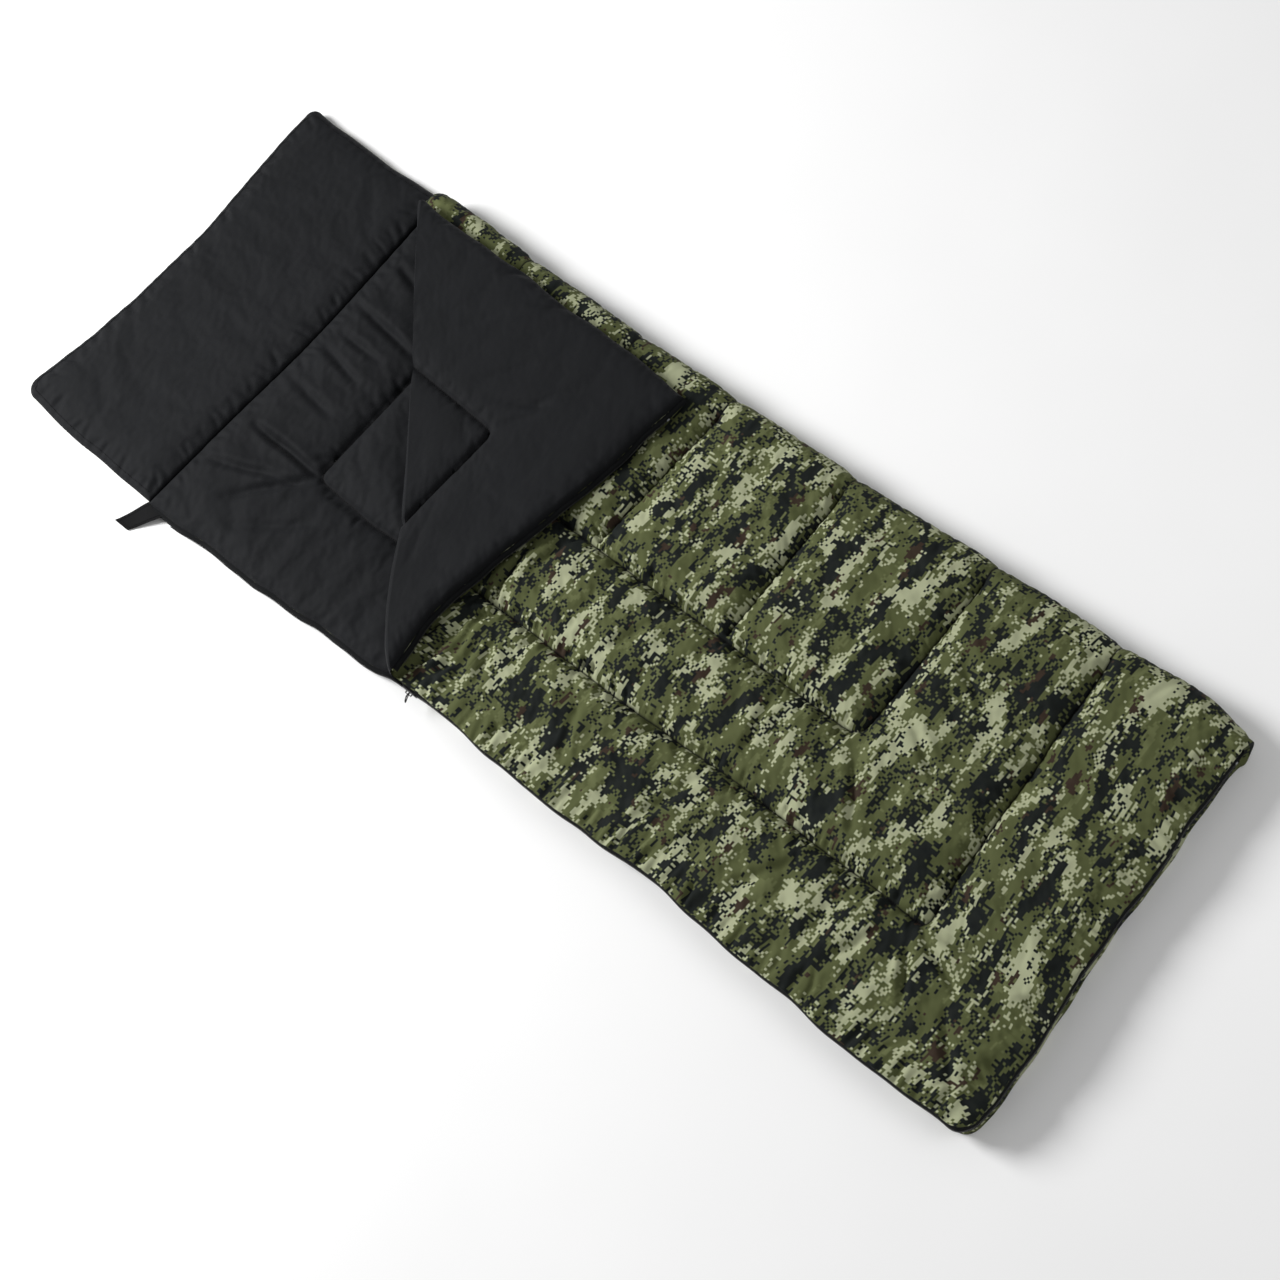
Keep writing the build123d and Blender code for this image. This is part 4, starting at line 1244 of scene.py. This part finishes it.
def cap_ends(piece, rows, columns):
    """Closes a tube of rings at both ends."""
    mesh = piece.data
    points = [tuple(v.co) for v in mesh.vertices]
    faces = [list(f.vertices) for f in mesh.polygons]
    faces.append(list(range(columns)))
    faces.append(list(range((rows - 1) * columns, rows * columns))[::-1])
    capped = bpy.data.meshes.new(mesh.name)
    capped.from_pydata(points, [], faces)
    capped.polygons.foreach_set("use_smooth", [True] * (len(faces) - 2) + [False] * 2)
    piece.data = capped


# ---- stitches --------------------------------------------------------------------------------
STITCH_PITCH = 0.0042
STITCH = [(x * 0.0018, y * 0.0006, z) for x in (-1, 1) for y, z in
          ((1, -0.0003), (0.6, 0.0005), (-0.6, 0.0005), (-1, -0.0003))]
STITCH_FACES = [[0, 1, 5, 4], [1, 2, 6, 5], [2, 3, 7, 6], [3, 0, 4, 7], [3, 2, 1, 0], [4, 5, 6, 7]]


def stitches(name, *paths):
    """Sewing thread along paths in space."""
    places = []
    for path in paths:
        points, directions = along(path, STITCH_PITCH)
        places += [frame_at(p, d, (0.02, 0.01, 1)) for p, d in zip(points, directions)]
    return many(name, STITCH, STITCH_FACES, places)


def dense(path, pitch=0.002):
    points, _ = along(path, pitch)
    return points


def make_quilting():
    top, flap, bottom = [], [], []
    for line in TOP_LINES:
        u, v = dense(line).T
        on_top = v < np.minimum(fold_y(u), MOUTH_Y) - 0.004
        for run in runs_of(on_top):
            top.append(top_shell_at(u[run], v[run]) + [0, 0, 0.0004])
        for run in runs_of(~on_top & (v > fold_y(u) + 0.006) & (u < ROLL_X)):
            du, dv, depth = lining_depth(u[run], v[run])
            flap.append(flap_place(u[run] + du, v[run] + dv, FLAP_SEAM_Z + depth + 0.0004))
    for line in BOTTOM_LINES:
        bottom.append(bottom_lining_at(*dense(line).T) + [0, 0, 0.0004])
    piece = dress(stitches("quilting_stitches_top", *top), THREAD, ("quilting_thread_top",))
    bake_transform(piece)
    piece = dress(stitches("quilting_stitches_flap", *flap), THREAD, ("quilting_thread_flap",))
    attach(piece, "flap")
    piece = dress(stitches("quilting_stitches_bottom", *bottom), THREAD,
                  ("quilting_thread_bottom",))
    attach(piece, "bottom")


def runs_of(chosen):
    """The stretches of a path where chosen is true."""
    marks = np.flatnonzero(np.diff(np.concatenate([[0], chosen.astype(int), [0]])))
    return [slice(a, b) for a, b in zip(marks[::2], marks[1::2]) if b - a > 4]


HOOD_STITCH_INSET = 0.012


def make_hood_stitches():
    low, high = ZIP_X + HOOD_STITCH_INSET, CLOSED_X - HOOD_STITCH_INSET
    end = HOOD_END_Y - HOOD_STITCH_INSET
    corners = [(low, SEAM_Y + 0.012), (low, end), (high, end), (high, SEAM_Y + 0.012)]
    u, v = dense(rounded(corners, 0.02)).T
    piece = dress(stitches("hood_edge_stitches", hood_at(u, v, 1) + [0, 0, 0.0003]), THREAD,
                  ("hood_topstitching",))
    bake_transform(piece)


make_outer_shell()
make_linings()
make_flap()
make_hood()
make_zip()
make_slider()
make_pull()
make_tab()
make_quilting()
make_hood_stitches()


# ---- floor, light and camera -----------------------------------------------------------------
def make_floor():
    n = Nodes("pale_floor")
    tone = n.mix(n.noise(n.place(), 3.0), (0.86, 0.86, 0.86, 1), (0.9, 0.9, 0.9, 1))
    n.put(n.shader.inputs["Base Color"], tone)
    n.set(Roughness=0.9, Specular_IOR_Level=0.1)
    bpy.ops.mesh.primitive_plane_add(size=30, location=(0, 0, -0.0006))
    floor = bpy.context.object
    floor.name = "floor"
    floor.data.materials.append(n.material)


def area_light(name, place, aim, size, power):
    light = bpy.data.lights.new(name, "AREA")
    light.shape = "DISK"
    light.size = size
    light.energy = power
    lamp = bpy.data.objects.new(name, light)
    lamp.location = place
    lamp.rotation_euler = (Vector(aim) - Vector(place)).to_track_quat("-Z", "Y").to_euler()
    bpy.context.scene.collection.objects.link(lamp)


def make_studio():
    world = bpy.data.worlds.new("studio")
    world.use_nodes = True
    world.node_tree.nodes["Background"].inputs["Color"].default_value = (1, 1, 1, 1)
    world.node_tree.nodes["Background"].inputs["Strength"].default_value = 0.34
    bpy.context.scene.world = world
    area_light("key", (-1.6, 3.6, 2.9), (0, 0, 0), 2.2, 325)
    area_light("fill", (1.2, -3.0, 3.0), (0, -0.2, 0), 2.4, 30)
    bpy.context.scene.view_settings.view_transform = "Standard"


def make_camera():
    camera = bpy.data.objects.new("camera", bpy.data.cameras.new("camera"))
    forward = Vector((0.1605, 0.4546, -0.8761)).normalized()
    up = Vector((0.7421, 0.5297, 0.4108))
    right = forward.cross(up).normalized()
    up = right.cross(forward)
    camera.matrix_world = Matrix((
        (right.x, up.x, -forward.x, -0.8425),
        (right.y, up.y, -forward.y, -2.3631),
        (right.z, up.z, -forward.z, 4.2492),
        (0, 0, 0, 1)))
    camera.data.sensor_width = 36
    camera.data.lens = 80.9
    bpy.context.scene.collection.objects.link(camera)
    bpy.context.scene.camera = camera


make_floor()
make_studio()
make_camera()
